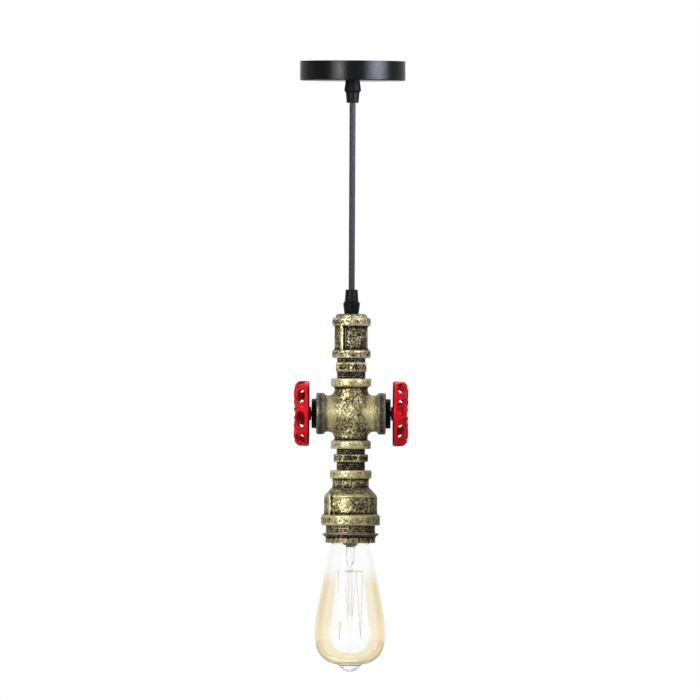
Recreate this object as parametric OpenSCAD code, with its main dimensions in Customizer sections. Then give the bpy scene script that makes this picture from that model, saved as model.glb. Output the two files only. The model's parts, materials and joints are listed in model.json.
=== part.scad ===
// Pendant light built from pipe fittings: ceiling canopy, hanging cord, coupling, nipples, cross with two
// handwheels, reducer, lampholder and filament bulb. Millimetres, +Z up, the ceiling plane at Z = 0.
// X runs through the two handwheels, and the side shown in the photograph faces -Y.

/* [Canopy] */
// Outside diameter of the ceiling cup
canopy_d = 100; // [90:1:120]
// Height of the ceiling cup
canopy_h = 18.5; // [17:0.5:30]
// Thickness of its sheet
canopy_wall = 1.2; // [0.8:0.1:1.6]
// Bevel round its lower edge
canopy_bevel = 0.8; // [0.4:0.1:1]

/* [Ceiling bracket] */
// Width of the bar against the ceiling
bracket_w = 18; // [16:1:20]
// Thickness of the bar and of its ears
bracket_t = 1.5; // [1.2:0.1:2]
// Width of the two ears
ear_w = 12; // [8:1:12]
// Height of the ears, from the ceiling
ear_h = 11; // [9:0.5:13]
// Distance between the two ceiling fixings
fixing_spacing = 60; // [50:1:66]
// Diameter of the fixing holes
fixing_hole_d = 4.2; // [3.5:0.1:5]
// Diameter of the supply cable's hole
cable_hole_d = 12; // [8:0.5:13]
// Diameter of the screws that hold the cup to the ears
cup_screw_d = 3; // [2.5:0.5:3.5]
// Diameter of their flush heads
cup_screw_head_d = 5.2; // [4.5:0.1:6]
// Diameter of the earth screw
earth_screw_d = 3.9; // [3:0.1:4]
// Diameter of its head
earth_head_d = 7; // [6:0.5:8]

/* [Terminal block] */
// Distance between neighbouring poles
pole_pitch = 8; // [7.5:0.5:9]
// Depth of the block, along the poles
block_depth = 14; // [12:0.5:15]
// Height of the block
block_h = 10; // [9:0.5:11]
// Outside diameter of a pole's brass barrel
barrel_d = 5.2; // [4.4:0.1:5.6]
// Bore of a barrel
barrel_bore_d = 3; // [2.4:0.1:3.4]
// Diameter of the terminal screws
terminal_screw_d = 2.6; // [2:0.1:3]

/* [Cord] */
// Outside diameter of the cord
cord_d = 5.8; // [5.4:0.1:6]
// Length that hangs free between the two grips
cord_free = 177; // [100:1:1000]
// Outside diameter of one insulated core
core_d = 2.2; // [1.8:0.1:2.3]

/* [Cord grips] */
// Diameter of a grip where it meets its panel
grip_foot_d = 13.6; // [12.5:0.1:15]
// Diameter of its flange
grip_flange_d = 16.1; // [15.5:0.1:17]
// Diameter of its cap at the flange
grip_cap_d = 13.1; // [12.5:0.1:14]
// Diameter of its cap at the mouth
grip_mouth_d = 11.4; // [11:0.1:12.4]
// Height of the canopy grip's base
canopy_grip_h = 11.4; // [9:0.1:14]
// Height of the canopy grip's cap
canopy_cap_h = 9.6; // [8.5:0.1:12]
// Height of the lamp grip's base
lamp_grip_h = 12.1; // [9:0.1:14]
// Height of the lamp grip's cap
lamp_cap_h = 11; // [8.5:0.1:12]
// Height of the slope on a grip's flange
grip_slope_h = 2.2; // [1.5:0.1:3]
// Diameter of the threaded shank
shank_d = 10; // [9.4:0.1:10.4]
// Width across the flats of the lock nuts
lock_nut_af = 14; // [13:0.5:16]
// Thickness of the lock nuts
lock_nut_t = 3; // [2.5:0.1:3.4]

/* [Pipe thread] */
// Diameter over the crests of the pipe thread
pipe_thread_d = 26.6; // [26:0.1:27.2]
// Depth of the pipe thread
pipe_thread_depth = 1.1; // [0.8:0.1:1.3]
// Distance between its crests
pipe_thread_pitch = 1.8; // [1.5:0.1:2.4]
// Length of thread screwed into each fitting
engagement = 10; // [8:0.5:11]
// Bore of the two nipples
nipple_bore_d = 19; // [15:0.5:20]

/* [Top plug and coupling] */
// Diameter of the plug's rim on the coupling
plug_rim_d = 30; // [28:0.5:33]
// Height of the rim
plug_rim_h = 3.7; // [3:0.1:5]
// Diameter of the coupling's body
coupling_d = 31.8; // [30:0.1:33]
// Diameter of its two bands
coupling_band_d = 36.4; // [35:0.1:39]
// Height of a band
coupling_band_h = 7.5; // [6:0.1:9]
// Length of the coupling
coupling_l = 38.1; // [36:0.1:44]
// Width of the two ribs along a coupling
coupling_rib_w = 3.3; // [2.5:0.1:4]
// Direction of the front rib, in degrees from the front towards -X
coupling_rib_turn = 32; // [20:1:60]

/* [Nipples] */
// Width across the flats of the nipples' hexagon
hex_af = 28.8; // [28:0.1:30]
// Visible thread above the upper hexagon
upper_thread_over = 4.1; // [3:0.1:6]
// Height of the upper hexagon
upper_hex_h = 8.9; // [7:0.1:10]
// Visible thread below the upper hexagon
upper_thread_under = 6.3; // [3:0.1:8]
// Visible thread above the lower hexagon
lower_thread_over = 5.1; // [3:0.1:8]
// Height of the lower hexagon
lower_hex_h = 7.2; // [6:0.1:10]
// Visible thread below the lower hexagon
lower_thread_under = 8; // [3:0.1:9]

/* [Cross] */
// Half of the cross's height
cross_reach_z = 33.4; // [31:0.1:38]
// Half of the cross's width
cross_reach_x = 32.9; // [31:0.1:38]
// Diameter of the upright arms
cross_arm_d = 31.4; // [31:0.1:34]
// Diameter of the side arms
cross_side_d = 34.3; // [32:0.1:36]
// Diameter of the bands on the upright arms
cross_band_d = 38.1; // [37:0.1:41]
// Diameter of the bands on the side arms
cross_side_band_d = 39.4; // [38:0.1:42]
// Height of the bands
cross_band_h = 7.6; // [6:0.1:9]
// Radius of the webs in the corners of the cross
cross_fillet = 6; // [4:0.5:8]
// Diameter of the waterway inside the cross
waterway_d = 22; // [16:0.5:24]

/* [Side plugs and handwheels] */
// Diameter of a side plug's rim
side_plug_d = 28; // [27.6:0.1:32]
// Width of that rim
side_plug_w = 4.6; // [3.5:0.1:6]
// Diameter of the stem
stem_d = 6; // [5:0.1:7]
// Radial running clearance of the stem
stem_play = 0.05; // [0.03:0.01:0.09]
// Diameter of a handwheel
wheel_d = 61.8; // [58:0.2:66]
// Depth of a handwheel, over its ribs
wheel_depth = 15.6; // [14.5:0.1:18]
// Depth of its straight skirt
wheel_skirt = 5.4; // [5:0.1:8]
// Thickness of its wall
wheel_wall = 3; // [2.4:0.1:3.6]
// Diameter of its flat face
wheel_face_d = 39.5; // [38:0.5:46]
// Diameter of its hub
wheel_hub_d = 14; // [12:0.5:16]
// Gap between the side plug and the hub
hub_gap = 0.3; // [0.2:0.05:0.5]
// How far the hub stands in front of the skirt, towards the lamp
hub_lead = 1.6; // [1:0.1:3]
// Number of ribs, and of windows between them
wheel_rib_count = 8; // [6:1:9]
// Width of a rib
wheel_rib_w = 3.2; // [2.4:0.1:4]
// Height of a rib over the face
wheel_rib_h = 1.9; // [1:0.1:2.2]
// Turn of the first rib below the horizontal, in degrees
wheel_rib_turn = 12; // [0:1:45]
// Length of a window
window_l = 14.5; // [8:0.5:15]
// Width of a window
window_w = 6.4; // [4:0.1:7]

/* [Reducer] */
// Diameter of its upper band
reducer_band_d = 39.4; // [37:0.1:42]
// Height of its upper band
reducer_band_h = 7.7; // [6:0.1:9]
// Diameter of its neck
reducer_neck_d = 34.4; // [32:0.1:36]
// Height of its neck
reducer_neck_h = 8.5; // [7:0.1:11]
// Height of its shoulder
reducer_shoulder_h = 7.9; // [6:0.1:9]
// Diameter of its wide body
reducer_body_d = 50.2; // [50:0.1:54]
// Radius of the corner between its shoulder and its wide body
reducer_corner = 5; // [3:0.5:6]
// Height of its wide body
reducer_body_h = 18.2; // [16:0.1:24]
// Diameter of its lower band
reducer_rim_d = 56; // [54:0.1:60]
// Height of its lower band
reducer_rim_h = 9.9; // [7:0.1:11]
// Wall of the wide body
reducer_wall = 3.4; // [2.5:0.1:4]
// Width of its two ribs
reducer_rib_w = 4.3; // [3:0.1:5]
// Direction of the front rib, in degrees from the front towards -X
reducer_rib_turn = 51; // [40:1:70]

/* [Holder collar and shade ring] */
// Diameter of the collar
collar_d = 47.4; // [46:0.1:48]
// Height of the collar that shows
collar_show_h = 7.5; // [6:0.1:9]
// Length of the collar inside the reducer
collar_in_h = 13.6; // [11:0.1:14]
// Diameter of the collar's lower end, inside the shade ring
collar_end_d = 42.8; // [42:0.1:43.4]
// Width of the key on its front
key_w = 3.2; // [2.5:0.1:4]
// Diameter of the shade ring's flange
flange_d = 54; // [52:0.2:57]
// Height of the flange
flange_h = 3.3; // [2.5:0.1:4]
// Diameter of the skirt under the flange
skirt_d = 47.2; // [46.6:0.1:49]
// Height of the skirt
skirt_h = 6; // [5:0.1:7]
// Number of slots round the skirt
skirt_slots = 28; // [20:1:32]

/* [Lampholder] */
// Diameter of the insulating core, inside the collar
core_body_d = 38.4; // [37.6:0.1:38.8]
// Diameter of its upper end
core_top_d = 34; // [32:0.5:36]
// Height of its upper end
core_top_h = 9.5; // [8:0.1:10.5]
// Diameter of the flange that it hangs by
core_flange_d = 43; // [42.4:0.1:43.3]
// Thickness of that flange
core_flange_t = 2.5; // [2:0.1:3]
// Diameter inside the screw shell
screw_shell_bore_d = 26.8; // [26.6:0.1:27]
// Thickness of the screw shell
screw_shell_t = 0.4; // [0.3:0.1:0.5]

/* [Bulb] */
// Largest diameter of the glass
bulb_d = 67.2; // [62:0.2:72]
// Height of the glass, without its pip
glass_h = 121.3; // [112:0.5:130]
// Height of the pip on the glass's end
pip_h = 6.8; // [4:0.1:8]
// Diameter of the pip at its root
pip_d = 18.4; // [14:0.2:20]
// Thickness of the glass
glass_t = 1; // [0.8:0.1:1.2]
// Diameter over the crests of the cap's thread
cap_d = 26.2; // [26:0.1:26.4]
// Distance between those crests
cap_pitch = 3.63; // [3.4:0.01:3.8]
// Number of crests on the cap
cap_turns = 4; // [3:1:4]
// Depth of the cap's thread
cap_thread_depth = 0.9; // [0.7:0.1:1.1]
// Diameter of the rim at the cap's foot
cap_rim_d = 28; // [27.4:0.1:28.4]
// Height of that rim
cap_rim_h = 3; // [2:0.1:4]
// Height of the black insulator on the cap
insulator_h = 3.3; // [3:0.1:5]
// Diameter of the tip contact
tip_d = 9.6; // [8:0.1:11]
// Thickness of the tip contact
tip_h = 1.2; // [0.8:0.1:1.6]
// Number of tall filament loops
filament_loops = 6; // [4:1:8]
// Diameter of the support wires
support_d = 0.9; // [0.7:0.1:1.2]

/* [Hidden] */
$fn = 96;

// Running overrun of every cut
over = 1;
// Radial clearance between pieces screwed or slid together on one body
seat = 0.05;
// Gap between pieces that move apart
free_gap = 0.3;
// Chamfer on the edges of cast bands
band_chamfer = 0.8;
// Fillet between a band and the body beside it
band_fillet = 0.8;
// How far ribs and keys are rooted in the piece that carries them
root_in = 1;

// Heights down the object, from the ceiling
z_cup_floor = -canopy_h + canopy_wall;
z_canopy_step = -canopy_h - canopy_grip_h;
z_pivot = z_canopy_step - canopy_cap_h;
z_lamp_mouth = z_pivot - cord_free;
z_lamp_step = z_lamp_mouth - lamp_cap_h;
z_plug = z_lamp_step - lamp_grip_h;
z_coupling = z_plug - plug_rim_h;
z_upper_nipple = z_coupling - coupling_l;
z_upper_hex = z_upper_nipple - upper_thread_over;
z_cross_top = z_upper_hex - upper_hex_h - upper_thread_under;
z_cross = z_cross_top - cross_reach_z;
z_lower_nipple = z_cross - cross_reach_z;
z_lower_hex = z_lower_nipple - lower_thread_over;
z_reducer = z_lower_hex - lower_hex_h - lower_thread_under;
z_reducer_neck = z_reducer - reducer_band_h;
z_reducer_shoulder = z_reducer_neck - reducer_neck_h;
z_reducer_body = z_reducer_shoulder - reducer_shoulder_h;
z_reducer_rim = z_reducer_body - reducer_body_h;
z_collar = z_reducer_rim - reducer_rim_h;
z_ring = z_collar - collar_show_h;
z_ring_skirt = z_ring - flange_h;
z_ring_end = z_ring_skirt - skirt_h;

// Radii that one fitting takes from another
pipe_r = pipe_thread_d / 2;
pipe_bore_r = pipe_r + seat;
cord_r = cord_d / 2;
core_r = core_d / 2;
shank_r = shank_d / 2;
collar_r = collar_d / 2;
pipe_depth = engagement + 2 * seat + 1.5 * pipe_thread_pitch;

// Canopy inside
cup_inner_r = canopy_d / 2 - canopy_wall;
ear_corner_gap = 0.2;
ear_x = sqrt(pow(cup_inner_r - ear_corner_gap, 2) - pow(ear_w / 2, 2));
cup_screw_z = -ear_h / 2 - bracket_t / 2;
cup_screw_reach = 4.5;
bar_wide_x = ear_x - bracket_w / 2;
earth_screw_x = fixing_spacing / 4 + cable_hole_d / 4;
earth_head_h = 2.2;
block_w = 3 * pole_pitch;
block_y = lock_nut_af / 2 + core_d;
pole_z = z_cup_floor + block_h / 2 + core_r / 2;
pole_screw_gap = block_depth / 2;
shank_top = z_cup_floor + lock_nut_t + free_gap;

// Inside each grip: the bore that holds the cord, the nose inside the cap and the flared mouth
grip_bore_r = cord_r + seat;
grip_nose_wall = 1.3;
grip_nose_share = 0.45;
mouth_flare = 1.1;
mouth_flare_r = cord_r + mouth_flare;
swing_ball_r = cord_r + free_gap;

// The bend of the cord at the canopy grip
bend_ball_r = 1.2;
cord_top_l = 4;

// Handwheel, measured outwards from its skirt's edge
wheel_x = cross_reach_x + side_plug_w + hub_gap + hub_lead;
wheel_r = wheel_d / 2;
face_r = wheel_face_d / 2;
nut_h = 2.2;
nut_af = 10;
wheel_face = wheel_depth - wheel_rib_h;
rib_start = wheel_rib_turn - 90;
dish = 1.8;
hub_face = wheel_face - nut_h;
clip_t = 1;
clip_wall = 1.4;
stem_back = 0.5;
arc_steps = 8;
window_rise = 27;
plug_face_bevel = 0.8;

// Lampholder and bulb, measured from the shade ring
core_rise = 7.3;
core_low = z_ring_end + core_rise;
core_flange_z = z_collar + collar_in_h;
core_high = core_flange_z + core_flange_t + core_top_h;
glass_top = z_ring - flange_h - free_gap / 3;
cap_thread_top = glass_top + cap_rim_h + cap_turns * cap_pitch;
tip_z = cap_thread_top + insulator_h + tip_h;
contact_t = 0.7;
cavity_floor = tip_z + free_gap + contact_t;
shell_outer_r = screw_shell_bore_d / 2 + screw_shell_t;
cavity_r = cap_rim_d / 2 + free_gap + seat;
shell_seat_r = shell_outer_r + seat;
terminal_size = [7.6, 6, 5];
terminal_r = 10;
sheath_end = z_reducer_neck + 2 * seat;

// Glass outline from the cap to the end, as shares of the largest radius and of the height without the pip
glass_shares = [
    [0.413, 0], [0.470, 0.012], [0.518, 0.034], [0.550, 0.070], [0.635, 0.165], [0.722, 0.269],
    [0.800, 0.385], [0.865, 0.480], [0.930, 0.570], [0.978, 0.660], [1.000, 0.762], [0.985, 0.825],
    [0.930, 0.878], [0.830, 0.925], [0.700, 0.958], [0.540, 0.982], [0.350, 0.995]
];
// Heights of the glass mount's shoulders, as shares of the same height
mount_shares = [0.08, 0.18, 0.22, 0.62];
// Top and foot of the filament cage, as shares of the same height
cage_shares = [0.27, 0.80];
// Radius of the filament cage, as a share of the bulb's diameter
cage_r_share = 0.17;
mount_r = (glass_shares[0][0] * bulb_d / 2 - glass_t) / 6;
cage_top = glass_top - glass_h * cage_shares[0];
cage_low = glass_top - glass_h * cage_shares[1];
cage_r = bulb_d * cage_r_share;
// Pip outline, as shares of its root radius and of its height
pip_shares = [[1, 0], [0.92, 0.28], [0.80, 0.55], [0.62, 0.80], [0.36, 0.95], [0, 1]];

// Routes of the cores in the canopy, from the middle of the sheath's end to the terminal block
live_up = [
    [-1.6, 0.8, 0], [-1.6, 0.8, 1.5], [-2.4, 2, 3.6], [-4.4, 4.2, 5], [-6.4, 6.2, 4.6], [-7.8, 7.4, 3.4],
    [-8, 8.4, 2.8], [-8, 9.2, 2.8]
];
earth_up = [
    [0, -1.6, 0], [0, -1.6, 1.5], [0, -0.8, 4.2], [0, 1.4, 6.2], [0, 4.2, 6.4], [0, 6.6, 5], [0, 8, 3],
    [0, 9.2, 2.8]
];
// Route of a core in the reducer, from the middle of the sheath's end to its terminal
core_down = [
    [-1.6, 0, 0], [-1.6, 0, -1.5], [-2.4, 0, -4], [-4.6, 0, -6.6], [-6.8, 0, -9], [-7.8, 0, -11.2],
    [-8, 0, -13], [-8, 0, -14.4]
];

// Small functions for outlines
function unit(v) = v / norm(v);
function reversed(list) = [for (i = [len(list) - 1 : -1 : 0]) list[i]];
function arc_outline(centre, size, from, to, steps) = [
    for (i = [0 : steps])
        let (a = from + (to - from) * i / steps)
        centre + [size[0] * cos(a), size[1] * sin(a)]
];

// Outer outline of a cast band, from its top to its foot
function band(r, top, foot) = [
    [r - band_chamfer, top], [r, top - band_chamfer], [r, foot + band_chamfer], [r - band_chamfer, foot]
];

// Outer outline of a thread as rings, from its top to its foot
function thread(r, depth, pitch, top, foot) =
    let (n = max(1, round((top - foot) / pitch)), step = (top - foot) / n)
    concat([for (i = [0 : n - 1]) each [[r - depth, top - i * step], [r, top - (i + 1 / 2) * step]]],
           [[r - depth, foot]]);

// Points one wall's thickness inside an open outline that runs from its top down to the axis
function inset(points, wall) = [
    for (i = [0 : len(points) - 1])
        let (a = points[max(i - 1, 0)], b = points[min(i + 1, len(points) - 1)], t = unit(b - a),
             moved = points[i] + wall * [t[1], -t[0]])
        [max(moved[0], 0), i == 0 ? points[i][1] : i == len(points) - 1 ? points[i][1] + wall : moved[1]]
];

// Direction of a route at one of its points
function tangent(route, i) = unit(route[min(i + 1, len(route) - 1)] - route[max(i - 1, 0)]);

// The same route, stretched along each axis so that it ends at a given point
function aimed(route, end) =
    let (reach = route[len(route) - 1])
    [for (p = route) [for (k = [0 : 2]) reach[k] == 0 ? p[k] : p[k] * end[k] / reach[k]]];

// The same route on the other side
function mirrored(route) = [for (p = route) [-p[0], p[1], p[2]]];

// One side direction for every point of a route
function same(direction, route) = [for (p = route) direction];

// A solid turned from its outline
module turned(points) {
    rotate_extrude() polygon(points);
}

// A plain tube between two heights
module tube(r_out, r_in, top, foot) {
    turned([[r_in, foot], [r_out, foot], [r_out, top], [r_in, top]]);
}

// A round rod between two heights
module rod(r, top, foot) {
    translate([0, 0, foot]) cylinder(r = r, h = top - foot);
}

// A hexagon with a face towards the front, between two heights
module hexagon(flats, top, foot, turn = 0) {
    translate([0, 0, foot]) rotate([0, 0, turn]) cylinder(r = flats / 2 / cos(30), h = top - foot, $fn = 6);
}

// A flexible tube with flat ends swept along a route, with a side direction for each point
module swept(route, r, sides, hints) {
    rings = len(route);
    points = [
        for (i = [0 : rings - 1])
            let (t = tangent(route, i), u = unit(cross(t, hints[i])), v = cross(t, u))
            for (j = [0 : sides - 1]) route[i] + r * (cos(360 * j / sides) * u + sin(360 * j / sides) * v)
    ];
    walls = [
        for (i = [0 : rings - 2]) for (j = [0 : sides - 1])
            let (a = i * sides + j, b = i * sides + (j + 1) % sides)
            each [[a, b, b + sides], [a, b + sides, a + sides]]
    ];
    start = [for (j = [1 : sides - 2]) [0, j + 1, j]];
    last = (rings - 1) * sides;
    finish = [for (j = [1 : sides - 2]) [last, last + j, last + j + 1]];
    polyhedron(points = points, faces = [for (f = concat(walls, start, finish)) reversed(f)]);
}

// Places a child on the +X or -X side of the cross, with its own +Z pointing outwards
module on_side(side) {
    translate([0, 0, z_cross]) mirror([side < 0 ? 1 : 0, 0, 0]) rotate([0, 90, 0]) children();
}

// The sheet-metal cup against the ceiling
module canopy_cup() {
    r = canopy_d / 2;
    color("#1b1c1f") difference() {
        turned([
            [shank_r + seat, -canopy_h], [r - canopy_bevel, -canopy_h], [r, -canopy_h + canopy_bevel],
            [r, 0], [cup_inner_r, 0], [cup_inner_r, z_cup_floor], [shank_r + seat, z_cup_floor]
        ]);
        for (side = [-1, 1])
            translate([side * r, 0, cup_screw_z]) rotate([0, 90, 0])
                cylinder(d = cup_screw_head_d + 2 * seat, h = 2 * (canopy_wall + over), center = true);
    }
}

// The steel bar screwed to the ceiling, with an ear at each end for the cup's screws
module ceiling_bracket() {
    color("#a9abae") difference() {
        union() {
            translate([-bar_wide_x, -bracket_w / 2, -bracket_t])
                cube([2 * bar_wide_x, bracket_w, bracket_t]);
            translate([-ear_x, -ear_w / 2, -bracket_t]) cube([2 * ear_x, ear_w, bracket_t]);
            for (side = [-1, 1])
                translate([side * (ear_x - bracket_t / 2), 0, -ear_h / 2])
                    cube([bracket_t, ear_w, ear_h], center = true);
        }
        for (side = [-1, 1])
            translate([side * fixing_spacing / 2, 0, -bracket_t - over])
                cylinder(d = fixing_hole_d, h = bracket_t + 2 * over);
        translate([0, 0, -bracket_t - over]) cylinder(d = cable_hole_d, h = bracket_t + 2 * over);
        translate([earth_screw_x, 0, -bracket_t - over])
            cylinder(d = earth_screw_d + 2 * seat, h = bracket_t + 2 * over);
        translate([0, 0, cup_screw_z]) rotate([0, 90, 0])
            cylinder(d = cup_screw_d + 2 * seat, h = 2 * (ear_x + over), center = true);
    }
}

// Two flush screws through the cup's wall into the ears
module cup_screws() {
    r = canopy_d / 2 - canopy_wall / 4;
    color("#c9cacc") for (side = [-1, 1])
        mirror([side < 0 ? 1 : 0, 0, 0]) translate([0, 0, cup_screw_z]) rotate([0, 90, 0]) {
            translate([0, 0, ear_x + seat]) cylinder(d = cup_screw_head_d, h = r - ear_x - seat);
            translate([0, 0, ear_x - cup_screw_reach]) cylinder(d = cup_screw_d, h = cup_screw_reach + over);
        }
}

// The earth screw under the bar
module earth_screw() {
    color("#c4a24a") translate([earth_screw_x, 0, 0]) {
        rod(earth_screw_d / 2, -bracket_t / 2, -bracket_t - earth_head_h);
        rod(earth_head_d / 2, -bracket_t - seat, -bracket_t - earth_head_h);
    }
}

// The white housing of the three-pole terminal block, on the cup's floor
module terminal_housing() {
    color("#e6e4dc") difference() {
        translate([-block_w / 2, block_y, z_cup_floor]) cube([block_w, block_depth, block_h]);
        for (pole = [-1 : 1]) translate([pole * pole_pitch, block_y, pole_z]) {
            translate([0, -over, 0]) rotate([-90, 0, 0])
                cylinder(d = barrel_d + 2 * seat, h = block_depth + 2 * over);
            for (end = [-1, 1])
                translate([0, block_depth / 2 + end * pole_screw_gap / 2, 0])
                    cylinder(d = terminal_screw_d + 8 * seat, h = block_h);
        }
    }
}

// The three brass barrels of the terminal block
module terminal_barrels() {
    color("#c9a659") for (pole = [-1 : 1]) translate([pole * pole_pitch, block_y, pole_z]) difference() {
        translate([0, core_r, 0]) rotate([-90, 0, 0]) cylinder(d = barrel_d, h = block_depth - core_d);
        translate([0, -over, 0]) rotate([-90, 0, 0]) cylinder(d = barrel_bore_d, h = block_depth + 2 * over);
        for (end = [-1, 1])
            translate([0, block_depth / 2 + end * pole_screw_gap / 2, 0])
                cylinder(d = terminal_screw_d + 2 * seat, h = barrel_d);
    }
}

// The six screws of the terminal block
module terminal_screws() {
    foot = pole_z + barrel_bore_d / 2;
    color("#d8c58c") for (pole = [-1 : 1]) for (end = [-1, 1])
        translate([pole * pole_pitch, block_y + block_depth / 2 + end * pole_screw_gap / 2, 0])
            rod(terminal_screw_d / 2, z_cup_floor + block_h - core_r / 2, foot);
}

// Base of a cord grip in its own frame: foot at Z = 0, flange and nose above it, shank below it
module grip_base(height, shank_l, cap_h) {
    foot_r = grip_foot_d / 2;
    flange_r = grip_flange_d / 2;
    nose_r = grip_bore_r + grip_nose_wall;
    difference() {
        turned([
            [grip_bore_r, -shank_l], [shank_r, -shank_l], [shank_r, 0], [foot_r, 0],
            [flange_r, height - grip_slope_h], [grip_cap_d / 2, height], [nose_r, height],
            [nose_r - grip_nose_wall / 3, height + cap_h * grip_nose_share],
            [grip_bore_r, height + cap_h * grip_nose_share]
        ]);
        for (turn = [0, 90])
            translate([0, 0, height + cap_h * grip_nose_share / 2 + over]) rotate([0, 0, turn])
                cube([2 * foot_r, grip_nose_wall / 2, cap_h * grip_nose_share], center = true);
    }
}

// Cap of a cord grip in its own frame: its wide end at Z = 0, its flared mouth at the top
module grip_cap(height) {
    nose_r = grip_bore_r + grip_nose_wall + seat;
    nose_top = height * grip_nose_share + seat;
    turned([
        [nose_r, 0], [grip_cap_d / 2, 0], [grip_mouth_d / 2, height], [mouth_flare_r, height],
        [swing_ball_r, height - cord_r - free_gap], [swing_ball_r, nose_top],
        [nose_r, nose_top]
    ]);
}

// A lock nut on a grip's shank
module lock_nut(top) {
    difference() {
        hexagon(lock_nut_af, top, top - lock_nut_t);
        rod(shank_r + seat, top + over, top - lock_nut_t - over);
    }
}

// Base of the grip under the cup, hanging upside down
module canopy_grip_base() {
    color("#202124") translate([0, 0, -canopy_h]) mirror([0, 0, 1])
        grip_base(canopy_grip_h, shank_top + canopy_h, canopy_cap_h);
}

// Cap of the grip under the cup
module canopy_grip_cap() {
    color("#26272a") translate([0, 0, z_canopy_step]) mirror([0, 0, 1]) grip_cap(canopy_cap_h);
}

// Nut inside the cup that holds its grip
module canopy_lock_nut() {
    color("#b4b6b9") lock_nut(z_cup_floor + lock_nut_t);
}

// The sheathed cord held inside the canopy grip
module canopy_sheath() {
    color("#2b2c2f") rod(cord_r, shank_top + seat, z_pivot + cord_r + free_gap);
}

// One core in the canopy, from the sheath's end to a pole of the terminal block
module canopy_core(route, pole) {
    start = shank_top + seat;
    path = aimed(route, [pole * pole_pitch, block_y, pole_z - start]);
    translate([0, 0, start]) swept(path, core_r, 8, same([1, 0.1, 0.05], path));
}

module canopy_live_core() {
    color("#6a3b1f") canopy_core(live_up, -1);
}

module canopy_neutral_core() {
    color("#2f62a8") canopy_core(mirrored(live_up), 1);
}

module canopy_earth_core() {
    color("#7fa63a") canopy_core(earth_up, 0);
}

// The short link from the block's middle pole to the earth screw
module earth_link() {
    head = [earth_screw_x, 0, -bracket_t - earth_head_h];
    from = [0, block_y + block_depth, pole_z];
    path = [
        from, from + [0, core_d, 0], from + [core_d, 2 * core_d, 0], from + [3 * core_d, 2.4 * core_d, 0],
        from + [5.5 * core_d, core_d, 0], [block_w / 2 + 2 * core_d, block_y + block_depth / 2, pole_z],
        [block_w / 2 + 2.6 * core_d, block_y, pole_z], head + [core_d, 2.4 * core_d, -3.2 * core_d],
        head + [core_r / 2, core_r, -2.6 * core_d], head + [0, 0, -core_d], head
    ];
    color("#7fa63a") swept(path, core_r, 8, same([1, 0.4, 0.1], path));
}

// The flexing cores inside the cord, at the point where it bends below the canopy
module cord_bend() {
    color("#b87333") translate([0, 0, z_pivot]) sphere(r = bend_ball_r, $fn = 32);
}

// The rounded top of the hanging cord, round the bend
module cord_top() {
    color("#2b2c2f") translate([0, 0, z_pivot]) difference() {
        union() {
            sphere(r = cord_r, $fn = 48);
            rod(cord_r, 0, -cord_top_l);
        }
        sphere(r = bend_ball_r + free_gap, $fn = 32);
    }
}

// The stretch of cord that hangs free
module pendant_cord() {
    top = z_pivot - cord_top_l;
    rings = round((top - z_lamp_mouth) / (2.5 * cord_d));
    path = [for (i = [0 : rings]) [0, 0, top + (z_lamp_mouth - top) * i / rings]];
    color("#2b2c2f") swept(path, cord_r, 12, same([0, 1, 0], path));
}

// The sheathed cord from the lamp's grip down to the reducer
module lamp_sheath() {
    color("#2b2c2f") rod(cord_r, z_lamp_mouth, sheath_end);
}

// Cap of the grip on the lamp
module lamp_grip_cap() {
    color("#26272a") translate([0, 0, z_lamp_step]) grip_cap(lamp_cap_h);
}

// Base of the grip on the lamp
module lamp_grip_base() {
    color("#202124") translate([0, 0, z_plug])
        grip_base(lamp_grip_h, plug_rim_h + engagement + lock_nut_t + free_gap, lamp_cap_h);
}

// Nut inside the coupling that holds the lamp's grip
module lamp_lock_nut() {
    color("#b4b6b9") lock_nut(z_coupling - engagement);
}

// The plug that closes the coupling's top and holds the lamp's grip
module top_plug() {
    rim_r = plug_rim_d / 2;
    round_r = plug_rim_h / 2;
    color("#5c5233") turned(concat(
        [[shank_r + seat, z_plug], [rim_r - round_r, z_plug]],
        arc_outline([rim_r - round_r, z_coupling + round_r], [round_r, round_r], 75, 0, 4),
        [[rim_r, z_coupling]],
        thread(pipe_r, pipe_thread_depth, pipe_thread_pitch, z_coupling, z_coupling - engagement),
        [[shank_r + seat, z_coupling - engagement]]
    ));
}

// Two ribs along opposite sides of a round fitting
module casting_ribs(r, width, top, foot, turn) {
    for (side = [0, 180])
        rotate([0, 0, side - turn])
            translate([-width / 2, -r, foot]) cube([width, r / 2, top - foot]);
}

// Straight coupling with a band at each end and two ribs
module coupling() {
    r = coupling_d / 2;
    band_r = coupling_band_d / 2;
    top = z_coupling;
    foot = z_upper_nipple;
    color("#8f8350") difference() {
        union() {
            turned(concat(
                [[0, top]], band(band_r, top, top - coupling_band_h),
                [[r, top - coupling_band_h - band_fillet], [r, foot + coupling_band_h + band_fillet]],
                band(band_r, foot + coupling_band_h, foot), [[0, foot]]
            ));
            casting_ribs(band_r + band_chamfer / 2, coupling_rib_w, top - band_chamfer, foot + band_chamfer,
                         coupling_rib_turn);
        }
        rod(pipe_bore_r, top + over, foot - over);
    }
}

// A nipple: thread, hexagon and thread on one bored piece
module nipple(top, hex_top, hex_foot, foot, turn) {
    difference() {
        union() {
            turned(concat(
                [[0, top]], thread(pipe_r, pipe_thread_depth, pipe_thread_pitch, top, hex_top),
                thread(pipe_r, pipe_thread_depth, pipe_thread_pitch, hex_foot, foot), [[0, foot]]
            ));
            hexagon(hex_af, hex_top, hex_foot, turn);
        }
        rod(nipple_bore_d / 2, top + over, foot - over);
    }
}

// Nipple between the coupling and the cross, with an edge of its hexagon to the front
module upper_nipple() {
    color("#4a3f35") nipple(z_upper_nipple + engagement, z_upper_hex, z_upper_hex - upper_hex_h,
                            z_cross_top - engagement, 30);
}

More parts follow.
